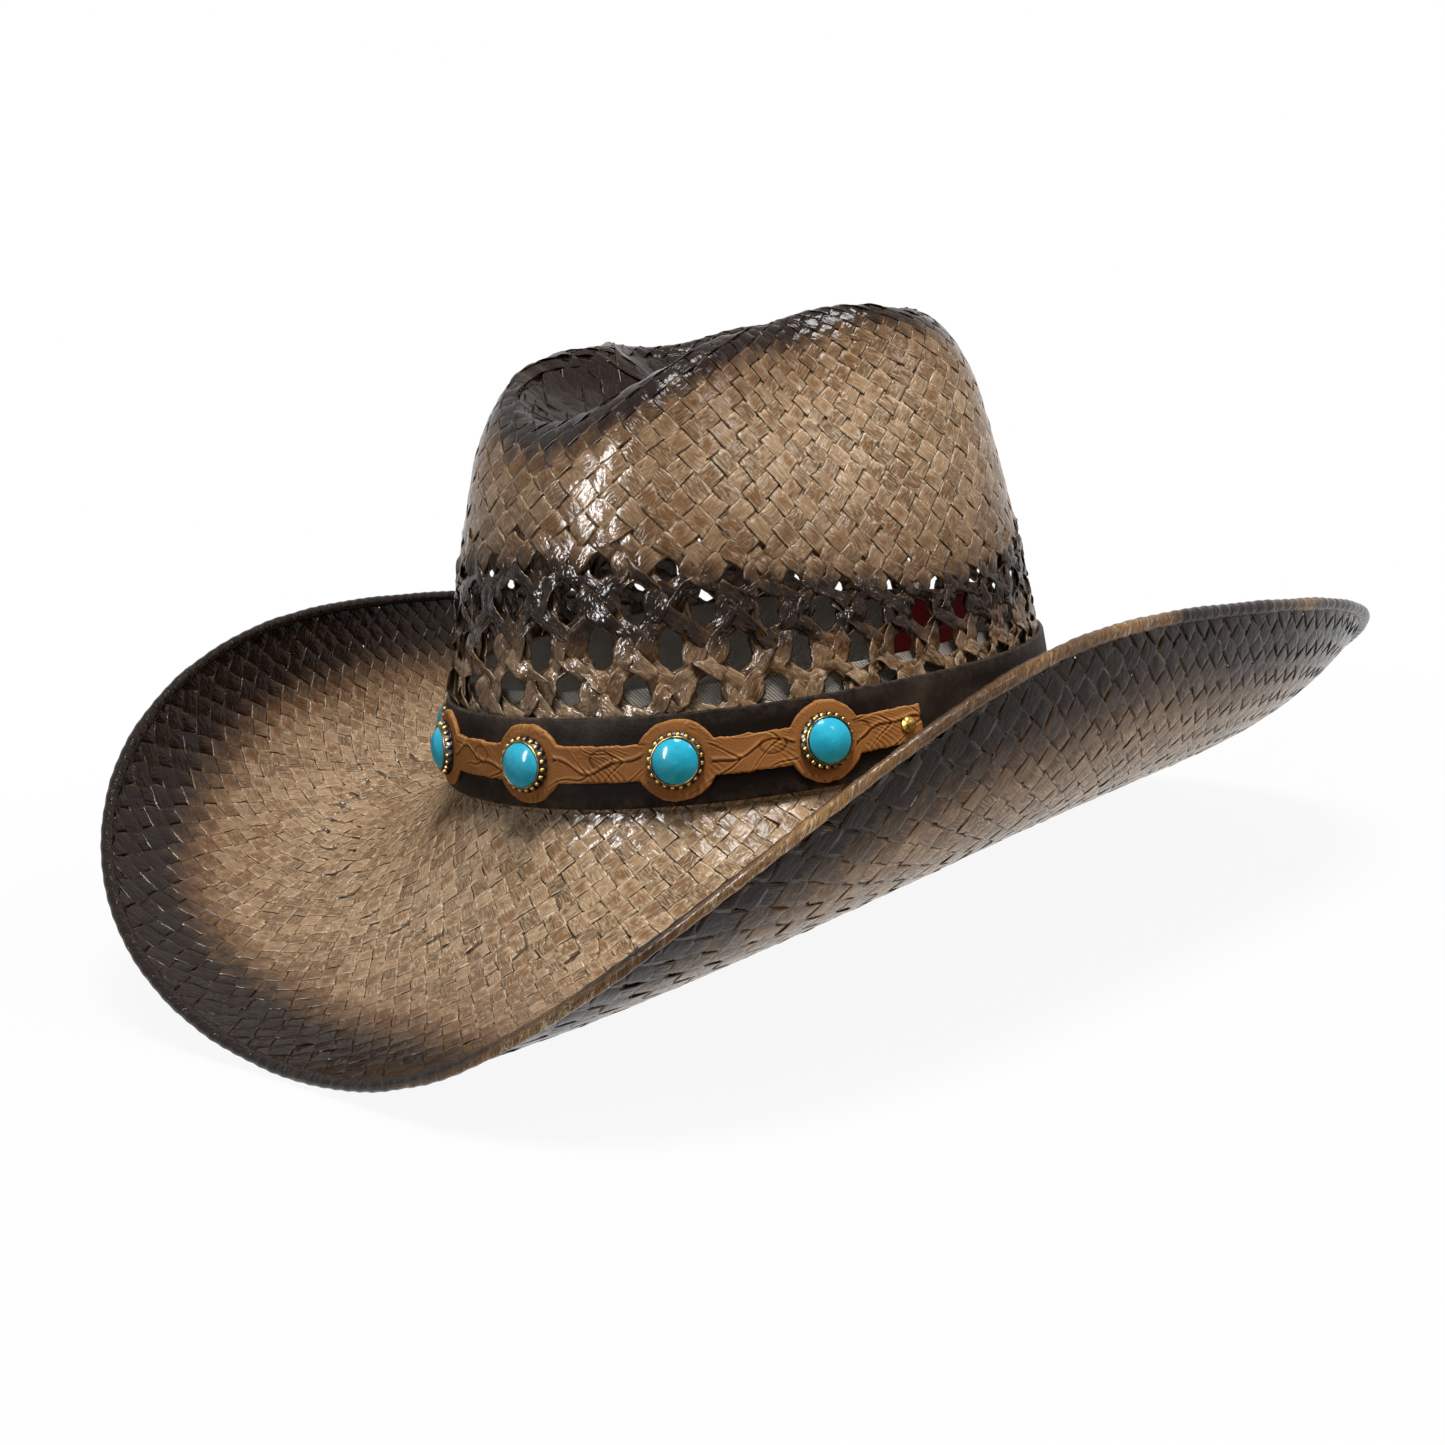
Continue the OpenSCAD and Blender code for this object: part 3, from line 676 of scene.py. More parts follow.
class Graph:
    """A material's nodes, made with short calls. A value may be a number, a colour or a socket."""

    def __init__(self, name):
        self.material = bpy.data.materials.new(name)
        self.material.use_nodes = True
        self.tree = self.material.node_tree
        self.shader = self.tree.nodes["Principled BSDF"]

    def put(self, socket, value):
        if isinstance(value, bpy.types.NodeSocket):
            self.tree.links.new(value, socket)
        else:
            socket.default_value = value

    def add(self, kind, inputs=None, **settings):
        node = self.tree.nodes.new("ShaderNode" + kind)
        for key, value in settings.items():
            setattr(node, key, value)
        for key, value in (inputs or {}).items():
            self.put(node.inputs[key], value)
        return node

    def attribute(self, name):
        return self.add("Attribute", attribute_name=name).outputs["Fac"]

    def math(self, operation, a, b=0.0, c=0.0):
        return self.add("Math", {0: a, 1: b, 2: c}, operation=operation).outputs[0]

    def times(self, a, b, plus=None):
        """a times b, with a third value added if it is given."""
        if plus is None:
            return self.math("MULTIPLY", a, b)
        return self.math("MULTIPLY_ADD", a, b, plus)

    def share(self, value, start, end):
        """Goes smoothly from 0 at start to 1 at end."""
        node = self.add("MapRange", {"Value": value, "From Min": start, "From Max": end},
                        interpolation_type="SMOOTHSTEP")
        return node.outputs[0]

    def blend(self, factor, a, b, kind="MIX"):
        node = self.add("Mix", {0: factor, 6: a, 7: b}, data_type="RGBA", blend_type=kind)
        return node.outputs[2]

    def vector(self, x, y, z):
        return self.add("CombineXYZ", {0: x, 1: y, 2: z}).outputs[0]

    def noise(self, vector, scale, detail=3.0, roughness=0.55):
        inputs = {"Vector": vector, "Scale": scale, "Detail": detail, "Roughness": roughness}
        return self.add("TexNoise", inputs).outputs["Fac"]

    def place(self):
        return self.add("TexCoord").outputs["Object"]

    def bump(self, height, strength, distance, normal=None):
        inputs = {"Height": height, "Strength": strength, "Distance": distance}
        if normal is not None:
            inputs["Normal"] = normal
        return self.add("Bump", inputs).outputs[0]

    def finish(self, **inputs):
        for key, value in inputs.items():
            self.put(self.shader.inputs[key.replace("_", " ")], value)
        return self.material


def colour(red, green, blue):
    """A colour written as it looks on screen, from 0 to 255."""
    shares = [c / 255 for c in (red, green, blue)]
    linear = [c / 12.92 if c <= 0.04 else ((c + 0.055) / 1.055) ** 2.4 for c in shares]
    return (*linear, 1.0)


def straw_material(name, light, mid, deep):
    """Lacquered straw: fibre lines along each strand, stained cells, dark spray, thin seams with painted
    shade and dirt in the gaps, pale rims and crinkle lines that are partly a painted highlight, and facet
    tones that are partly a painted sheen.
    """
    g = Graph(name)
    along = g.attribute("along")
    across = g.attribute("across")
    raised = g.attribute("raised")
    spray = g.attribute("spray")

    def stretched(scale_along, scale_across, layer):
        """A place on the strand; layer keeps one pattern apart from the others."""
        return g.vector(g.times(along, scale_along), g.times(across, scale_across), layer)

    fibre = g.noise(stretched(0.16, 2.6, 0.0), 1.0, 4.0, 0.65)
    hair = g.noise(stretched(0.3, 5.0, 5.0), 1.0, 2.0, 0.6)
    blotch = g.noise(stretched(0.2, 0.3, 3.0), 1.0, 3.0, 0.6)
    fray = g.noise(stretched(0.8, 1.0, 7.0), 1.0, 3.0, 0.6)
    wrinkle = g.noise(stretched(0.15, 0.5, 2.0), 1.0, 0.6, 0.5)
    crinkle = g.noise(stretched(0.4, 0.6, 9.0), 1.0, 2.0, 0.5)
    facets = g.add("TexVoronoi", {"Vector": stretched(0.45, 0.75, 0.0), "Scale": 1.0})
    # Tone that changes from facet to facet: random, and partly a painted sheen standing in for the gloss that
    # shifts over crumpled facets.
    facet = g.times(facets.outputs["Color"], 0.5, -0.25)
    shade = g.times(g.attribute("tone"), 0.2, g.times(blotch, 0.7, fibre))
    shade = g.math("ADD", shade, facet)
    body = g.blend(g.share(shade, 0.6, 1.05), deep, mid)
    body = g.blend(g.times(g.share(hair, 0.5, 0.64), 0.6), body, light)
    stained = g.times(g.share(g.attribute("stain"), 0.05, 0.7), 0.85)
    body = g.blend(stained, body, g.blend(fibre, colour(96, 66, 40), colour(140, 102, 66)))
    # Pale straw at each strand's rims and where it dives under: frayed fibres, and partly a painted highlight
    # on the rims of each cell.
    dipping = g.math("SUBTRACT", 1.0, g.share(raised, -0.1, 0.8))
    border = g.math("MAXIMUM", g.share(g.attribute("rim"), 0.35, 0.95), dipping)
    rim_fray_and_highlight = g.times(border, g.share(fray, 0.4, 0.62))
    body = g.blend(g.times(rim_fray_and_highlight, 0.6), body, light)
    fold = g.math("PINGPONG", g.times(wrinkle, 5.0), 0.5)
    line = g.share(fold, 0.16, 0.0)
    crack = g.share(fold, 0.43, 0.5)
    # Pale crinkle lines, partly a painted highlight along the creases.
    body = g.blend(g.times(line, g.times(border, 0.5, 0.2)), body, colour(236, 216, 186))
    body = g.blend(g.times(crack, g.times(border, 0.4, 0.2)), body, colour(88, 62, 42))
    # seam is 1 in the gaps, where a strand's edge meets the next or where it dives under. On tan straw it
    # darkens the gaps with painted shade and dirt; on sprayed straw it marks bare straw that the spray
    # missed.
    seam = g.share(g.times(fibre, 0.5, raised), 0.35, -0.6)
    body = g.blend(g.times(seam, 0.85), body, colour(60, 41, 26))
    dark = g.blend(g.share(fibre, 0.35, 0.75), colour(15, 8, 5), colour(46, 28, 17))
    golden = g.times(g.times(seam, g.share(fibre, 0.42, 0.6)), g.share(spray, 1.1, 1.0))
    dark = g.blend(g.times(golden, 0.5), dark, colour(120, 88, 52))
    grain = g.times(g.math("SUBTRACT", blotch, 0.5), 0.5, spray)
    half_sprayed = g.blend(g.share(grain, 0.05, 0.6), body, g.blend(0.66, body, colour(88, 54, 22)))
    skin = g.blend(g.share(grain, 0.3, 0.95), half_sprayed, dark)
    depth = g.times(g.attribute("crumple"), 2.5, 1.6)
    relief = g.times(facets.outputs["Distance"], 0.8, g.times(line, 0.2, crinkle))
    relief = g.times(relief, depth, g.times(fibre, 0.15))
    return g.finish(
        Base_Color=skin,
        Roughness=g.times(fibre, 0.18, 0.07),
        Specular_IOR_Level=0.15,
        Normal=g.bump(relief, 0.7, 0.0001))


def ring_object(name, rings, closed, values, flip=False):
    """An object through rings of corners in millimetres; closed joins the last ring to the first."""
    rings = np.asarray(rings)
    count, corners = rings.shape[:2]
    faces = ring_quads(count, corners, closed).tolist()
    if not closed:
        faces += end_caps(0, count, corners)
    if flip:
        faces = [f[::-1] for f in faces]
    values = {k: np.broadcast_to(v, (count, corners)).ravel() for k, v in values.items()}
    return add_form(name, rings.reshape(-1, 3), faces, values)


def hem_centre(angle):
    """Centre line of the rolled hem, with the directions out along the brim and up from it."""
    section, slope = brim_section(angle, straw_width(angle))
    out = np.stack([np.cos(slope), np.sin(slope)], -1)
    above = np.stack([-np.sin(slope), np.cos(slope)], -1)
    return section + HEM_REACH * out, out, above


def hem():
    """The rolled hem: a rope of straw wrapped on a slant."""
    count, corners = 960, 16
    angle = np.arange(count) / count * TURN
    centre, out, above = hem_centre(angle)
    path = turned(centre, angle)
    length = np.concatenate([[0], np.cumsum(np.linalg.norm(np.diff(path, axis=0), axis=1))])
    turn = np.arange(corners) / corners * TURN
    wraps = round(length[-1] / 5.5)
    slant = wraps * angle[:, None] - turn[None, :]
    lumps = 0.05 * np.sin(slant + smooth_noise(count, 14, 0.9)[:, None])
    wobble = smooth_noise(count, 7, 0.05)
    wobble = wobble + (wobble[0] - wobble[-1]) * np.linspace(0, 1, count)
    radius = HEM_RADIUS * (0.93 + lumps + wobble[:, None])
    x, y = radius * np.cos(turn), radius * np.sin(turn)
    section = centre[:, None] + x[..., None] * out[:, None] + y[..., None] * above[:, None]
    rings = turned(section, np.broadcast_to(angle[:, None], radius.shape))
    paler = line_shape(angle - math.radians(38), math.radians(30))
    patchy = 0.85 - 0.5 * paler + 0.22 * smooth_noise(count, 9, 1.0)
    spray = patchy[:, None] + 0.5 * ease(np.sin(turn + 0.1), -0.3, 0.6)[None, :]
    values = dict(
        along=length[:, None] * 0.55 + turn[None, :] * 2.0,
        across=slant * 0.9,
        # raised dips in the grooves between the wraps, where the straw's material paints shade.
        raised=np.clip(1.2 * np.sin(slant) + 0.6, -1, 1),
        spray=spray,
        stain=0.0,
        rim=0.3,
        crumple=0.2,
        tone=smooth_noise(count, 12, 0.8)[:, None])
    return ring_object("hem_roll", rings, True, values)


def dress(piece, body, material, *nodes, slot=None):
    """Gives a piece its material, its body and the nodes that it stands for."""
    piece.data.materials.clear()
    piece.data.materials.append(material)
    if nodes:
        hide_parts(*nodes)
    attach(piece, body)
    return piece


def leather(name, deep, mid, light, roughness, grain_size):
    """Tooled or smooth leather: pores, soft wrinkles, dark in the tooling and paler on worn edges, partly a
    painted highlight along the rounded edges.
    """
    g = Graph(name)
    pores = g.add("TexVoronoi", {"Vector": g.place(), "Scale": 1 / grain_size}).outputs["Distance"]
    cloud = g.noise(g.place(), 90.0, 4.0, 0.6)
    wrinkle = g.noise(g.place(), 420.0, 3.0, 0.6)
    tooling = g.attribute("tooling")
    tone = g.times(g.math("SUBTRACT", cloud, 0.5), 0.5, g.times(tooling, 0.5, 0.5))
    skin = g.blend(g.share(tone, 0.0, 0.55), deep, g.blend(g.share(tone, 0.5, 1.0), mid, light))
    # Paler on the edges: worn leather, and on the dark band partly a painted highlight along its rounded
    # edges.
    worn = g.times(g.attribute("edge"), g.share(wrinkle, 0.3, 0.7))
    skin = g.blend(g.times(worn, 0.6), skin, light)
    relief = g.times(wrinkle, 0.8, pores)
    return g.finish(
        Base_Color=skin,
        Roughness=g.times(cloud, 0.3, roughness - 0.15),
        Specular_IOR_Level=0.03,
        Normal=g.bump(relief, 0.25, 0.0003))


def antique_brass(name):
    """Brass with a dark patina that is rubbed off where the attribute worn is high."""
    g = Graph(name)
    cloud = g.noise(g.place(), 500.0, 4.0, 0.65)
    rubbed = g.times(g.math("SUBTRACT", cloud, 0.5), 0.7, g.attribute("worn"))
    brass = g.blend(cloud, colour(120, 92, 48), colour(186, 154, 92))
    return g.finish(
        Base_Color=g.blend(g.share(rubbed, 0.2, 0.75), colour(22, 18, 14), brass),
        Metallic=g.share(rubbed, 0.1, 0.5),
        Roughness=g.times(cloud, 0.25, 0.2),
        Normal=g.bump(cloud, 0.2, 0.0002))


def plain_brass(name, bright, dim):
    """Small brass parts with a clouded surface."""
    g = Graph(name)
    cloud = g.noise(g.place(), 600.0, 4.0, 0.6)
    return g.finish(
        Base_Color=g.blend(g.share(cloud, 0.35, 0.7), dim, bright),
        Metallic=1.0,
        Roughness=g.times(cloud, 0.3, 0.12),
        Normal=g.bump(cloud, 0.15, 0.0002))


def turquoise(name):
    """Polished turquoise with faint clouds."""
    g = Graph(name)
    cloud = g.noise(g.place(), 260.0, 4.0, 0.55)
    fleck = g.noise(g.place(), 1500.0, 2.0, 0.5)
    skin = g.blend(g.share(cloud, 0.3, 0.72), colour(34, 168, 199), colour(52, 185, 213))
    skin = g.blend(g.times(g.share(fleck, 0.66, 0.76), 0.35), skin, colour(24, 112, 138))
    return g.finish(
        Base_Color=skin,
        Roughness=g.times(cloud, 0.1, 0.1),
        Specular_IOR_Level=0.15,
        Normal=g.bump(cloud, 0.04, 0.0002))


def cloth(name, thread, gap, spacing):
    """Twill cloth: slanted threads along the attributes along and up, in millimetres."""
    g = Graph(name)
    along = g.times(g.attribute("along"), TURN / spacing)
    up = g.times(g.attribute("up"), TURN / spacing)
    twill = g.math("SINE", g.math("ADD", along, up))
    weft = g.math("SINE", g.times(up, 2.0))
    weave = g.times(weft, 0.35, twill)
    fuzz = g.noise(g.place(), 1800.0, 3.0, 0.7)
    cloud = g.noise(g.place(), 60.0, 3.0, 0.6)
    skin = g.blend(g.share(g.times(fuzz, 1.2, weave), -0.4, 1.4), gap, thread)
    skin = g.blend(g.times(g.share(cloud, 0.4, 0.75), 0.25), skin, gap)
    return g.finish(
        Base_Color=skin,
        Roughness=g.times(fuzz, 0.2, 0.72),
        Sheen_Weight=0.2,
        Specular_IOR_Level=0.2,
        Normal=g.bump(weave, 0.4, 0.0002))


def thread_material(name, pale, deep):
    """Twisted sewing thread, with its plies along the attributes along and turn."""
    g = Graph(name)
    ply = g.math("SINE", g.times(g.attribute("along"), 6.0, g.attribute("turn")))
    fuzz = g.noise(g.place(), 4000.0, 2.0, 0.6)
    return g.finish(
        Base_Color=g.blend(g.share(g.times(fuzz, 0.8, ply), -0.6, 1.2), deep, pale),
        Roughness=g.times(fuzz, 0.2, 0.6),
        Sheen_Weight=0.15,
        Normal=g.bump(ply, 0.5, 0.0001))


def steel(name):
    """Drawn wire with fine scratches and a little rust bloom."""
    g = Graph(name)
    cloud = g.noise(g.place(), 300.0, 4.0, 0.65)
    return g.finish(
        Base_Color=g.blend(g.share(cloud, 0.55, 0.8), colour(168, 168, 172), colour(120, 100, 84)),
        Metallic=1.0,
        Roughness=g.times(cloud, 0.35, 0.2),
        Normal=g.bump(cloud, 0.2, 0.0001))


def line_shape(distance, width):
    """A soft line: 1 on it and 0 away from it."""
    return np.exp(-(distance / width) ** 2)


def band_offset(degrees):
    return RUNNING_GAP + (BAND_THICKNESS + TOUCHING_GAP) * ease(degrees, *LAP_RISE)


def hatband():
    """The dark band: soft edges, a slightly full face and its lap at the back."""
    degrees = np.arange(BAND_START, LAP_END + 0.1, 1.0)
    angle = np.radians(degrees)[:, None]
    half = BAND_HEIGHT / 2
    up = np.array([-1, -1, -0.985, -0.94, -0.6, 0, 0.6, 0.94, 0.985, 1, 1])
    out = np.array([0.1, 0.55, 0.85, 0.97, 1.0, 1.0, 1.0, 0.97, 0.85, 0.55, 0.1])
    # edge marks the rounded edges, which the leather paints paler: wear, and partly a painted highlight.
    edge = np.array([1, 1, 1, 0.5, 0, 0, 0, 0.5, 1, 1, 1])
    ripple = 0.06 * np.sin(9 * angle + 0.4) * np.sin(3 * angle) * (out[None, :] > 0.9)
    offset = band_offset(degrees)[:, None] + BAND_THICKNESS * out[None, :] + ripple
    rings = off_wall(angle, BAND_MIDDLE + half * up[None, :], offset)
    values = dict(edge=edge[None, :], tooling=0.3 * np.sin(5 * angle + 1.1) * np.ones_like(up)[None, :])
    return ring_object("hatband_strap", rings, False, values)


def band_length(degrees, at):
    """Length along the band of an angle, at a place measured from the middle setting."""
    return np.radians(np.abs(degrees)) * foot_radius(np.radians(at + BAND_TURN))


def strap_outline(at):
    """Half width of the tooled strap, and the distance along it from the nearest setting."""
    reach = SETTING_STEP * (SETTING_COUNT - 1) / 2
    nearest = np.clip(np.round(at / SETTING_STEP) * SETTING_STEP, -reach, reach)
    beside = np.sign(at - nearest) * band_length(at - nearest, at)
    lobe = np.sqrt(np.maximum(0, LOBE_RADIUS ** 2 - beside ** 2))
    return np.maximum(STRAP_HALF_WIDTH, lobe), beside


def tooling_height(along, up):
    """Tooled leaves on the strap: a wavy stem, veins that sweep off it, scrolls, and patches of hatching."""
    stem = up - 2.1 * np.sin(TURN * along / 31 + 0.7) - 0.8 * np.sin(TURN * along / 13 + 2)
    height = 0.2 * line_shape(stem - 0.7, 0.5) - 0.3 * line_shape(stem, 0.35)
    sweep = along + 0.9 * np.abs(stem) ** 1.3
    vein = np.abs((sweep / 9.5 + 0.5) % 1 - 0.5) * 9.5
    height = height - 0.26 * line_shape(vein, 0.32) + 0.14 * line_shape(vein - 0.8, 0.5)
    scroll = np.abs(np.hypot((along + 8.5) % 21.0 - 10.5, 1.3 * (up - 1.2)) - 3.1)
    height = height - 0.22 * line_shape(scroll, 0.3)
    patch = ease(np.sin(TURN * along / 23 + 1.3) + 0.4 * np.sin(0.9 * up + 0.2 * along), 0.1, 0.5)
    return height + 0.1 * patch * np.sin(TURN * (0.75 * along + up + 0.06 * up ** 2) / 1.25)


def band_strap():
    """The tan strap: roughly cut edges, a lobe under each setting and a tooled face."""
    at = np.arange(-STRAP_END, STRAP_END + 0.01, 0.15)
    half, beside = strap_outline(at)
    count = len(at)
    cut = [half + smooth_noise(count, 9, 0.14) + smooth_noise(count, 2.5, 0.07) for _ in range(2)]
    rows = np.linspace(-1, 1, 44)
    up = np.where(rows[None, :] < 0, cut[0][:, None], cut[1][:, None]) * rows[None, :]
    along = np.sign(at) * band_length(at, at)
    clear = ease(np.hypot(beside[:, None], up), BEZEL_RADIUS + 0.4, BEZEL_RADIUS + 1.6)
    relief = tooling_height(along[:, None], up) * clear
    rounded = 0.35 * ease(np.abs(rows), 0.93, 1.0)[None, :]
    top = STRAP_BASE + STRAP_THICKNESS - 0.1 * clear + relief - rounded
    bottom = np.full((count, 2), STRAP_BASE + 0.02)
    up_all = np.concatenate([up, up[:, [-1]], up[:, [0]]], 1)
    out_all = np.concatenate([top, bottom], 1)
    angle = np.radians(at + BAND_TURN)[:, None]
    rings = off_wall(angle, BAND_MIDDLE + up_all, out_all)
    edge = np.concatenate([ease(np.abs(rows), 0.9, 0.99), [1, 1]])
    values = dict(tooling=np.concatenate([3.2 * relief, 0 * bottom], 1), edge=edge[None, :])
    return ring_object("tooled_strap", rings, False, values)


class Parts:
    """Small closed forms gathered into one mesh: each is a stack of rings with a cap at both ends."""

    def __init__(self):
        self.corners, self.faces, self.values = [], [], []

    def add(self, rings, **values):
        rings = np.asarray(rings, float)
        count, corners = rings.shape[:2]
        first = sum(len(c) for c in self.corners)
        self.faces += (ring_quads(count, corners) + first).tolist() + end_caps(first, count, corners)
        self.corners.append(rings.reshape(-1, 3))
        self.values.append({k: np.broadcast_to(v, (count, corners)).ravel() for k, v in values.items()})

    def build(self, name, place=None):
        """The object; place, if given, sets the forms on the crown's wall."""
        corners = np.concatenate(self.corners)
        if place is not None:
            origin, along, up, out = place
            corners = origin + corners[:, [0]] * along + corners[:, [1]] * up + corners[:, [2]] * out
        values = {k: np.concatenate([v[k] for v in self.values]) for k in self.values[0]}
        return add_form(name, corners, self.faces, values, flat_caps=True)


def disc_rings(profile, sides):
    """Rings of a turned form, from pairs of radius and height."""
    turn = np.arange(sides) / sides * TURN
    return [np.stack([r * np.cos(turn), r * np.sin(turn), np.full(sides, z)], -1) for r, z in profile]


def setting_place(number):
    at = BAND_TURN + (number - (SETTING_COUNT + 1) / 2) * SETTING_STEP
    return wall_frame(math.radians(at), BAND_MIDDLE, SETTING_BASE)


def bezel(number):
    """A setting: a dark dish, a collar round the stone and rounded teeth with rubbed tops."""
    parts = Parts()
    bore = STONE_RADIUS + TOUCHING_GAP
    collar = bore + COLLAR_THICKNESS
    dish = [(0.2, 0.0), (BEZEL_RADIUS - 0.4, 0.0), (BEZEL_RADIUS - 0.25, 0.15), (BEZEL_RADIUS - 0.4, 0.35),
            (collar, 0.45), (collar, COLLAR_HEIGHT - 0.45), (collar - 0.25, COLLAR_HEIGHT - 0.1),
            (bore + 0.2, COLLAR_HEIGHT), (bore, COLLAR_HEIGHT - 0.2), (bore, 0.9), (0.2, 0.9)]
    worn = np.array([0, 0, 0.25, 0.1, 0, 0.1, 0.45, 0.35, 0, 0, 0])
    parts.add(disc_rings(dish, 72), worn=worn[:, None])
    corner = np.arange(12) / 12 * TURN
    square = np.stack([np.cos(corner), np.sin(corner)], -1)
    square = square / np.max(np.abs(square), axis=1, keepdims=True) ** 0.6
    for k in range(TOOTH_COUNT):
        turn = (k + 0.5) / TOOTH_COUNT * TURN
        out = np.array([math.cos(turn), math.sin(turn), 0])
        side = np.array([-math.sin(turn), math.cos(turn), 0])
        rings = []
        for height, radial, wide, middle in TOOTH_RINGS:
            ring = middle * out + radial * square[:, [0]] * out + wide * square[:, [1]] * side
            rings.append(ring + [0, 0, height])
        parts.add(rings, worn=np.array(TOOTH_WEAR)[:, None] + rng.normal(0, 0.15))
    return parts.build("bezel_ring_%d" % number, setting_place(number))


def stitch_rings(origin, along, out, length, radius, sag):
    """A stitch: a round thread that dips into the cloth at both ends."""
    share = np.linspace(-1, 1, 11)
    line = origin + share[:, None] * length / 2 * along - (sag * share ** 4)[:, None] * out
    side = np.cross(out, along)
    turn = np.arange(8) / 8 * TURN
    thick = radius * np.sqrt(np.maximum(0.05, 1 - 0.9 * np.abs(share) ** 6))
    ring = np.cos(turn)[None, :, None] * side + np.sin(turn)[None, :, None] * out
    rings = line[:, None] + thick[:, None, None] * ring
    return rings, share[:, None] * length / 2 + 0 * turn[None, :], turn[None, :] + 0 * share[:, None]


def seam_stitches():
    """Thread round the foot of the sweatband."""
    parts = Parts()
    height = sum(SWEATBAND_SEAM) / 2
    depth = STRAW + SWEATBAND_ROOM / 2 + SWEATBAND_THICKNESS
    for k in range(COLUMNS):
        origin, along, _, out = wall_frame((k + 0.5) / COLUMNS * TURN, height, -depth - 0.05)
        rings, length, turn = stitch_rings(origin, along, -out, *STITCH)
        parts.add(rings, along=length, turn=turn)
    return parts.build("sweatband_thread")


def lap_thread():
    """Two upright rows of stitches through the band's lap."""
    parts = Parts()
    rows = 3
    outside = band_offset(LAP_END) + BAND_THICKNESS
    for degrees in (LAP_END - 4, LAP_END - 8):
        for k in range(1, rows + 1):
            height = BAND_LIFT + k * BAND_HEIGHT / (rows + 1)
            origin, _, up, out = wall_frame(math.radians(degrees), height, outside + 0.08)
            rings, length, turn = stitch_rings(origin, up, out, *STITCH)
            parts.add(rings, along=length, turn=turn)
    return parts.build("lap_thread")


def sweatband():
    """The cloth band inside the foot of the crown, with a rolled upper edge."""
    count = 256
    angle = (np.arange(count) / count * TURN)[:, None]
    low, bend = SWEATBAND_SEAM
    seam, free, thick = STRAW + TOUCHING_GAP, STRAW + SWEATBAND_ROOM, SWEATBAND_THICKNESS
    top = SWEATBAND_HEIGHT
    heights = np.array([low, low, 4, 7, bend, 18, 26, top - 0.6, top, top, top - 0.6, 26, 18, bend, 7, 4])
    share = ease(heights, low - 3, bend)
    inner = seam + (free - seam) * share
    side = np.array([1, 0, 0, 0, 0, 0, 0, 0, 0.2, 0.8, 1, 1, 1, 1, 1, 1])
    pucker = 0.12 * np.sin(COLUMNS * angle) * line_shape(heights - 5.5, 3.0)[None, :] * side[None, :]
    rings = off_wall(angle, heights[None, :], -(inner + thick * side)[None, :] + pucker)
    girth = np.linalg.norm(np.diff(rings[:, 5], axis=0, append=rings[:1, 5]), axis=1)
    along = np.concatenate([[0], np.cumsum(girth)[:-1]])[:, None]
    values = dict(along=along, up=heights[None, ::-1])
    return ring_object("sweatband_cloth", rings[:, ::-1], True, values), girth.sum()


def inner_tab():
    """The red cloth tab at the back of the sweatband, with a folded edge."""
    half = 2 * TURN / COLUMNS
    turn = np.linspace(-half, half, 49)
    angle = np.pi + turn[:, None]
    low, high = TAB_HEIGHTS
    rows = np.linspace(low, high, 25)
    wave = 0.04 * np.sin(30 * turn)[:, None] * np.cos(0.3 * rows)[None, :]
    from_middle = np.abs(rows - (low + high) / 2)
    fold = 0.06 * (ease(np.abs(turn) / half, 0.86, 0.94)[:, None] + ease(from_middle, 10, 11.5))
    heights = np.concatenate([rows, rows[::-1]])
    front = -TAB_DEPTH - TAB_THICKNESS * 0.8 - fold + wave
    back = np.full((len(turn), len(rows)), -TAB_DEPTH - 0.02)
    rings = off_wall(angle, heights[None, :], np.concatenate([back, front], 1))
    values = dict(along=TAB_RADIUS * turn[:, None], up=heights[None, :])
    return ring_object("sweatband_tab", rings, False, values, flip=True)


def finish_node(node, material):
    """Gives a CAD node that stays its material."""
    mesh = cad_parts[node].data
    mesh.materials.clear()
    mesh.materials.append(material)


straw_top = straw_material("straw", colour(206, 178, 142), colour(152, 124, 94), colour(98, 74, 50))
straw_rim = straw_material("straw_edge", colour(206, 166, 108), colour(132, 98, 62), colour(70, 48, 28))

for way, label in ((1, "left"), (-1, "right")):
    dress(crown_strands(way).build("crown_weave_" + label), "hat", straw_top, "crown", slot="straw")
    dress(tip_strands(way).build("crease_weave_" + label), "hat", straw_top, "crown", slot="straw")
    for half in (0, 1):
        name = "brim_weave_%s_%d" % (label, half + 1)
        dress(brim_strands(way, half).build(name), "hat", straw_top, "brim", slot="straw")
dress(hem(), "hat", straw_rim, "brim_edge", slot="straw_edge")

sweat, sweat_length = sweatband()
sweat_twill = cloth("sweatband_twill", colour(172, 164, 153), colour(126, 119, 110), 1.1)
dress(sweat, "hat", sweat_twill, "sweatband", slot="sweatband")
tab_twill = cloth("tab_twill", colour(176, 24, 30), colour(96, 8, 14), 0.8)
tab = dress(inner_tab(), "hat", tab_twill, "inner_tab", slot="red_cloth")
pale_thread = thread_material("pale_thread", colour(198, 186, 164), colour(120, 106, 86))
dress(seam_stitches(), "hat", pale_thread, "sweatband_stitches", slot="thread")
dark_thread = thread_material("dark_thread", colour(88, 74, 64), colour(40, 32, 28))
dress(lap_thread(), "band", dark_thread, "lap_stitches", slot="thread")

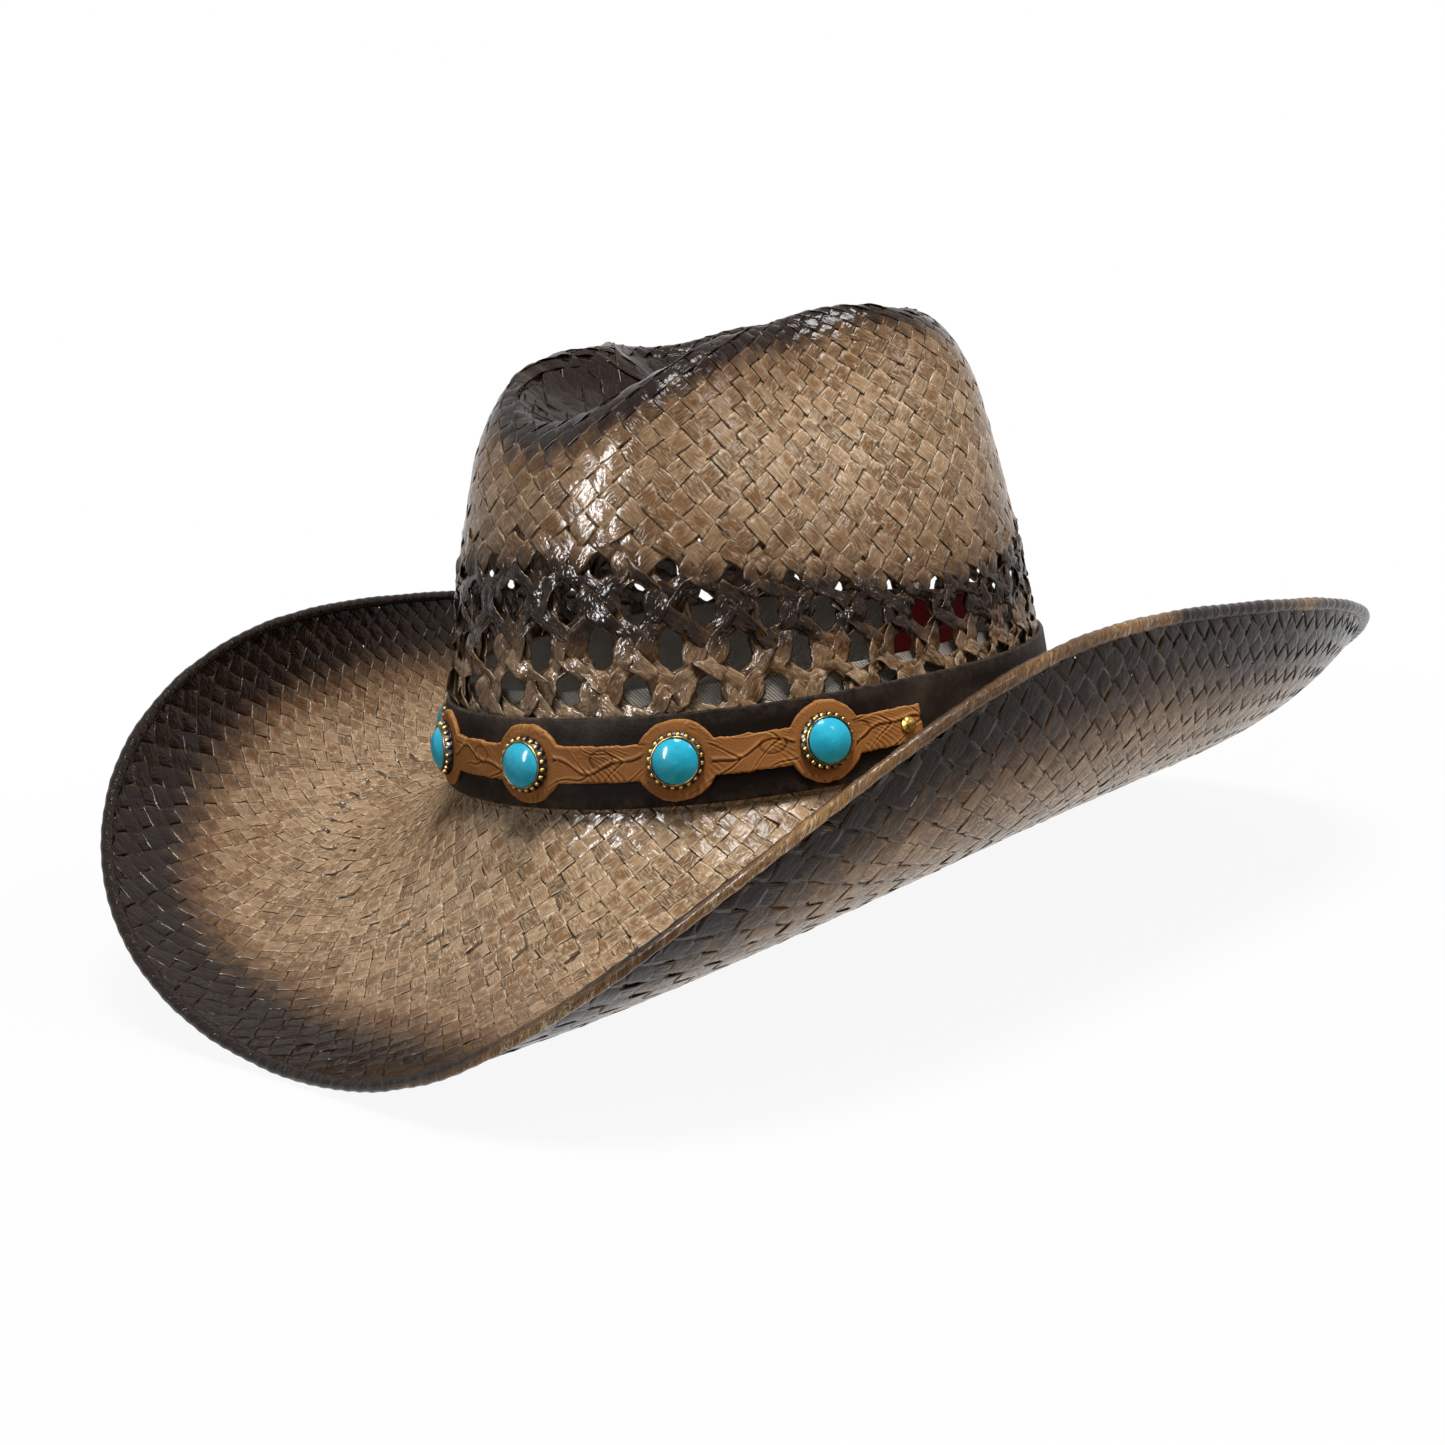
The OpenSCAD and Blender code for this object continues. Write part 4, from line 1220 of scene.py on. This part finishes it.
dark_leather = leather("dark_leather", colour(18, 13, 10), colour(29, 22, 18), colour(84, 72, 62),
                       0.5, 0.0006)
dress(hatband(), "band", dark_leather, "hatband", slot="dark_leather")
tan_leather = leather("tan_leather", colour(84, 48, 22), colour(150, 98, 52), colour(184, 136, 86),
                      0.62, 0.0005)
dress(band_strap(), "band", tan_leather, "band_strap", slot="tan_leather")
setting_brass = antique_brass("antique_brass")
stone_surface = turquoise("turquoise")
for number in range(1, SETTING_COUNT + 1):
    dress(bezel(number), "band", setting_brass, "bezel_%d" % number, slot="antique_brass")
    finish_node("stone_%d" % number, stone_surface)
stud_brass = plain_brass("stud_brass", colour(196, 164, 84), colour(110, 86, 40))
for node in ("stud_left", "stud_right", "setting_rivets"):
    finish_node(node, stud_brass)
finish_node("brim_wire", steel("wire_steel"))


# Camera, fitted to the photograph
CAMERA_AZIMUTH = 42.471
CAMERA_ELEVATION = 10.377
CAMERA_ROLL = -4.995
CAMERA_DISTANCE = 586.518
CAMERA_SHIFT = (-11.638, 2.984)
FOCAL_PIXELS = 1818.126
PHOTO_SIZE = 1445
SENSOR_WIDTH = 36


def direction(azimuth, elevation):
    """Unit direction out from the hat; azimuth 0 is the front and 90 the wearer's left."""
    a, e = math.radians(azimuth), math.radians(elevation)
    return np.array([math.sin(a) * math.cos(e), -math.cos(a) * math.cos(e), math.sin(e)])


def add_camera():
    back = direction(CAMERA_AZIMUTH, CAMERA_ELEVATION)
    a, roll = math.radians(CAMERA_AZIMUTH), math.radians(CAMERA_ROLL)
    level = np.array([math.cos(a), math.sin(a), 0])
    upright = np.cross(back, level)
    right = level * math.cos(roll) + upright * math.sin(roll)
    up = upright * math.cos(roll) - level * math.sin(roll)
    place = (right * CAMERA_SHIFT[0] + up * CAMERA_SHIFT[1] + back * CAMERA_DISTANCE) * MM
    lens = bpy.data.cameras.new("camera")
    lens.sensor_width = SENSOR_WIDTH
    lens.lens = FOCAL_PIXELS / PHOTO_SIZE * SENSOR_WIDTH
    lens.clip_start = 0.01
    camera = bpy.data.objects.new("camera", lens)
    matrix = Matrix.Identity(4)
    for row in range(3):
        matrix[row] = right[row], up[row], back[row], place[row]
    camera.matrix_world = matrix
    bpy.context.scene.collection.objects.link(camera)
    bpy.context.scene.camera = camera


def add_light(name, azimuth, elevation, distance, width, height, power, only_gloss=False):
    lamp = bpy.data.lights.new(name, "AREA")
    lamp.shape = "ELLIPSE"
    lamp.size = width
    lamp.size_y = height
    lamp.energy = power
    light = bpy.data.objects.new(name, lamp)
    light.visible_diffuse = not only_gloss
    d = direction(azimuth, elevation)
    light.location = d * distance
    light.rotation_euler = Vector(d).to_track_quat("Z", "Y").to_euler()
    bpy.context.scene.collection.objects.link(light)


def seen_directly(tree):
    """1 where a ray comes straight from the camera or from a reflection."""
    path = tree.nodes.new("ShaderNodeLightPath")
    total = path.outputs["Is Camera Ray"]
    for name in ("Is Glossy Ray", "Is Transmission Ray"):
        add = tree.nodes.new("ShaderNodeMath")
        add.operation = "MAXIMUM"
        tree.links.new(total, add.inputs[0])
        tree.links.new(path.outputs[name], add.inputs[1])
        total = add.outputs[0]
    return total


def add_world():
    world = bpy.data.worlds.new("studio")
    bpy.context.scene.world = world
    world.use_nodes = True
    tree = world.node_tree
    light = tree.nodes["Background"]
    light.inputs["Color"].default_value = (0.95, 0.97, 1.0, 1)
    light.inputs["Strength"].default_value = 0.13
    white = tree.nodes.new("ShaderNodeBackground")
    mix = tree.nodes.new("ShaderNodeMixShader")
    tree.links.new(seen_directly(tree), mix.inputs[0])
    tree.links.new(light.outputs[0], mix.inputs[1])
    tree.links.new(white.outputs[0], mix.inputs[2])
    white.inputs["Color"].default_value = (1, 1, 1, 1)
    tree.links.new(mix.outputs[0], tree.nodes["World Output"].inputs["Surface"])


def add_floor():
    """A pale floor that is nearly white to the camera and keeps a faint shadow."""
    half = 4.0
    level = float(cad_box[0][2]) - 0.0005
    mesh = bpy.data.meshes.new("floor")
    mesh.from_pydata([(-half, -half, level), (half, -half, level), (half, half, level), (-half, half, level)],
                     [], [(0, 1, 2, 3)])
    floor = add_object("floor", mesh)
    g = Graph("floor")
    g.finish(Base_Color=(0.6, 0.6, 0.59, 1), Roughness=0.9)
    white = g.add("Emission", {"Color": (1, 1, 1, 1), "Strength": 1.0})
    mix = g.add("MixShader")
    away = g.add("VectorMath", {0: g.place()}, operation="LENGTH").outputs["Value"]
    part = g.times(seen_directly(g.tree), g.times(g.share(away, 0.16, 0.5), 0.08, 0.92))
    g.tree.links.new(part, mix.inputs[0])
    g.tree.links.new(g.shader.outputs[0], mix.inputs[1])
    g.tree.links.new(white.outputs[0], mix.inputs[2])
    g.tree.links.new(mix.outputs[0], g.tree.nodes["Material Output"].inputs["Surface"])
    mesh.materials.append(g.material)


add_camera()
add_world()
add_floor()
# Lamps: azimuth and elevation in degrees, distance, width and height in metres, and power in watts
add_light("key", 100, 40, 1.3, 0.25, 0.25, 3)
add_light("top", 60, 74, 1.4, 0.5, 0.5, 24)
add_light("fill", 100, 2, 1.2, 0.5, 0.3, 1.5)
add_light("strip", 2, 30, 1.3, 0.2, 0.8, 42, only_gloss=True)
bpy.context.scene.view_settings.view_transform = "Standard"
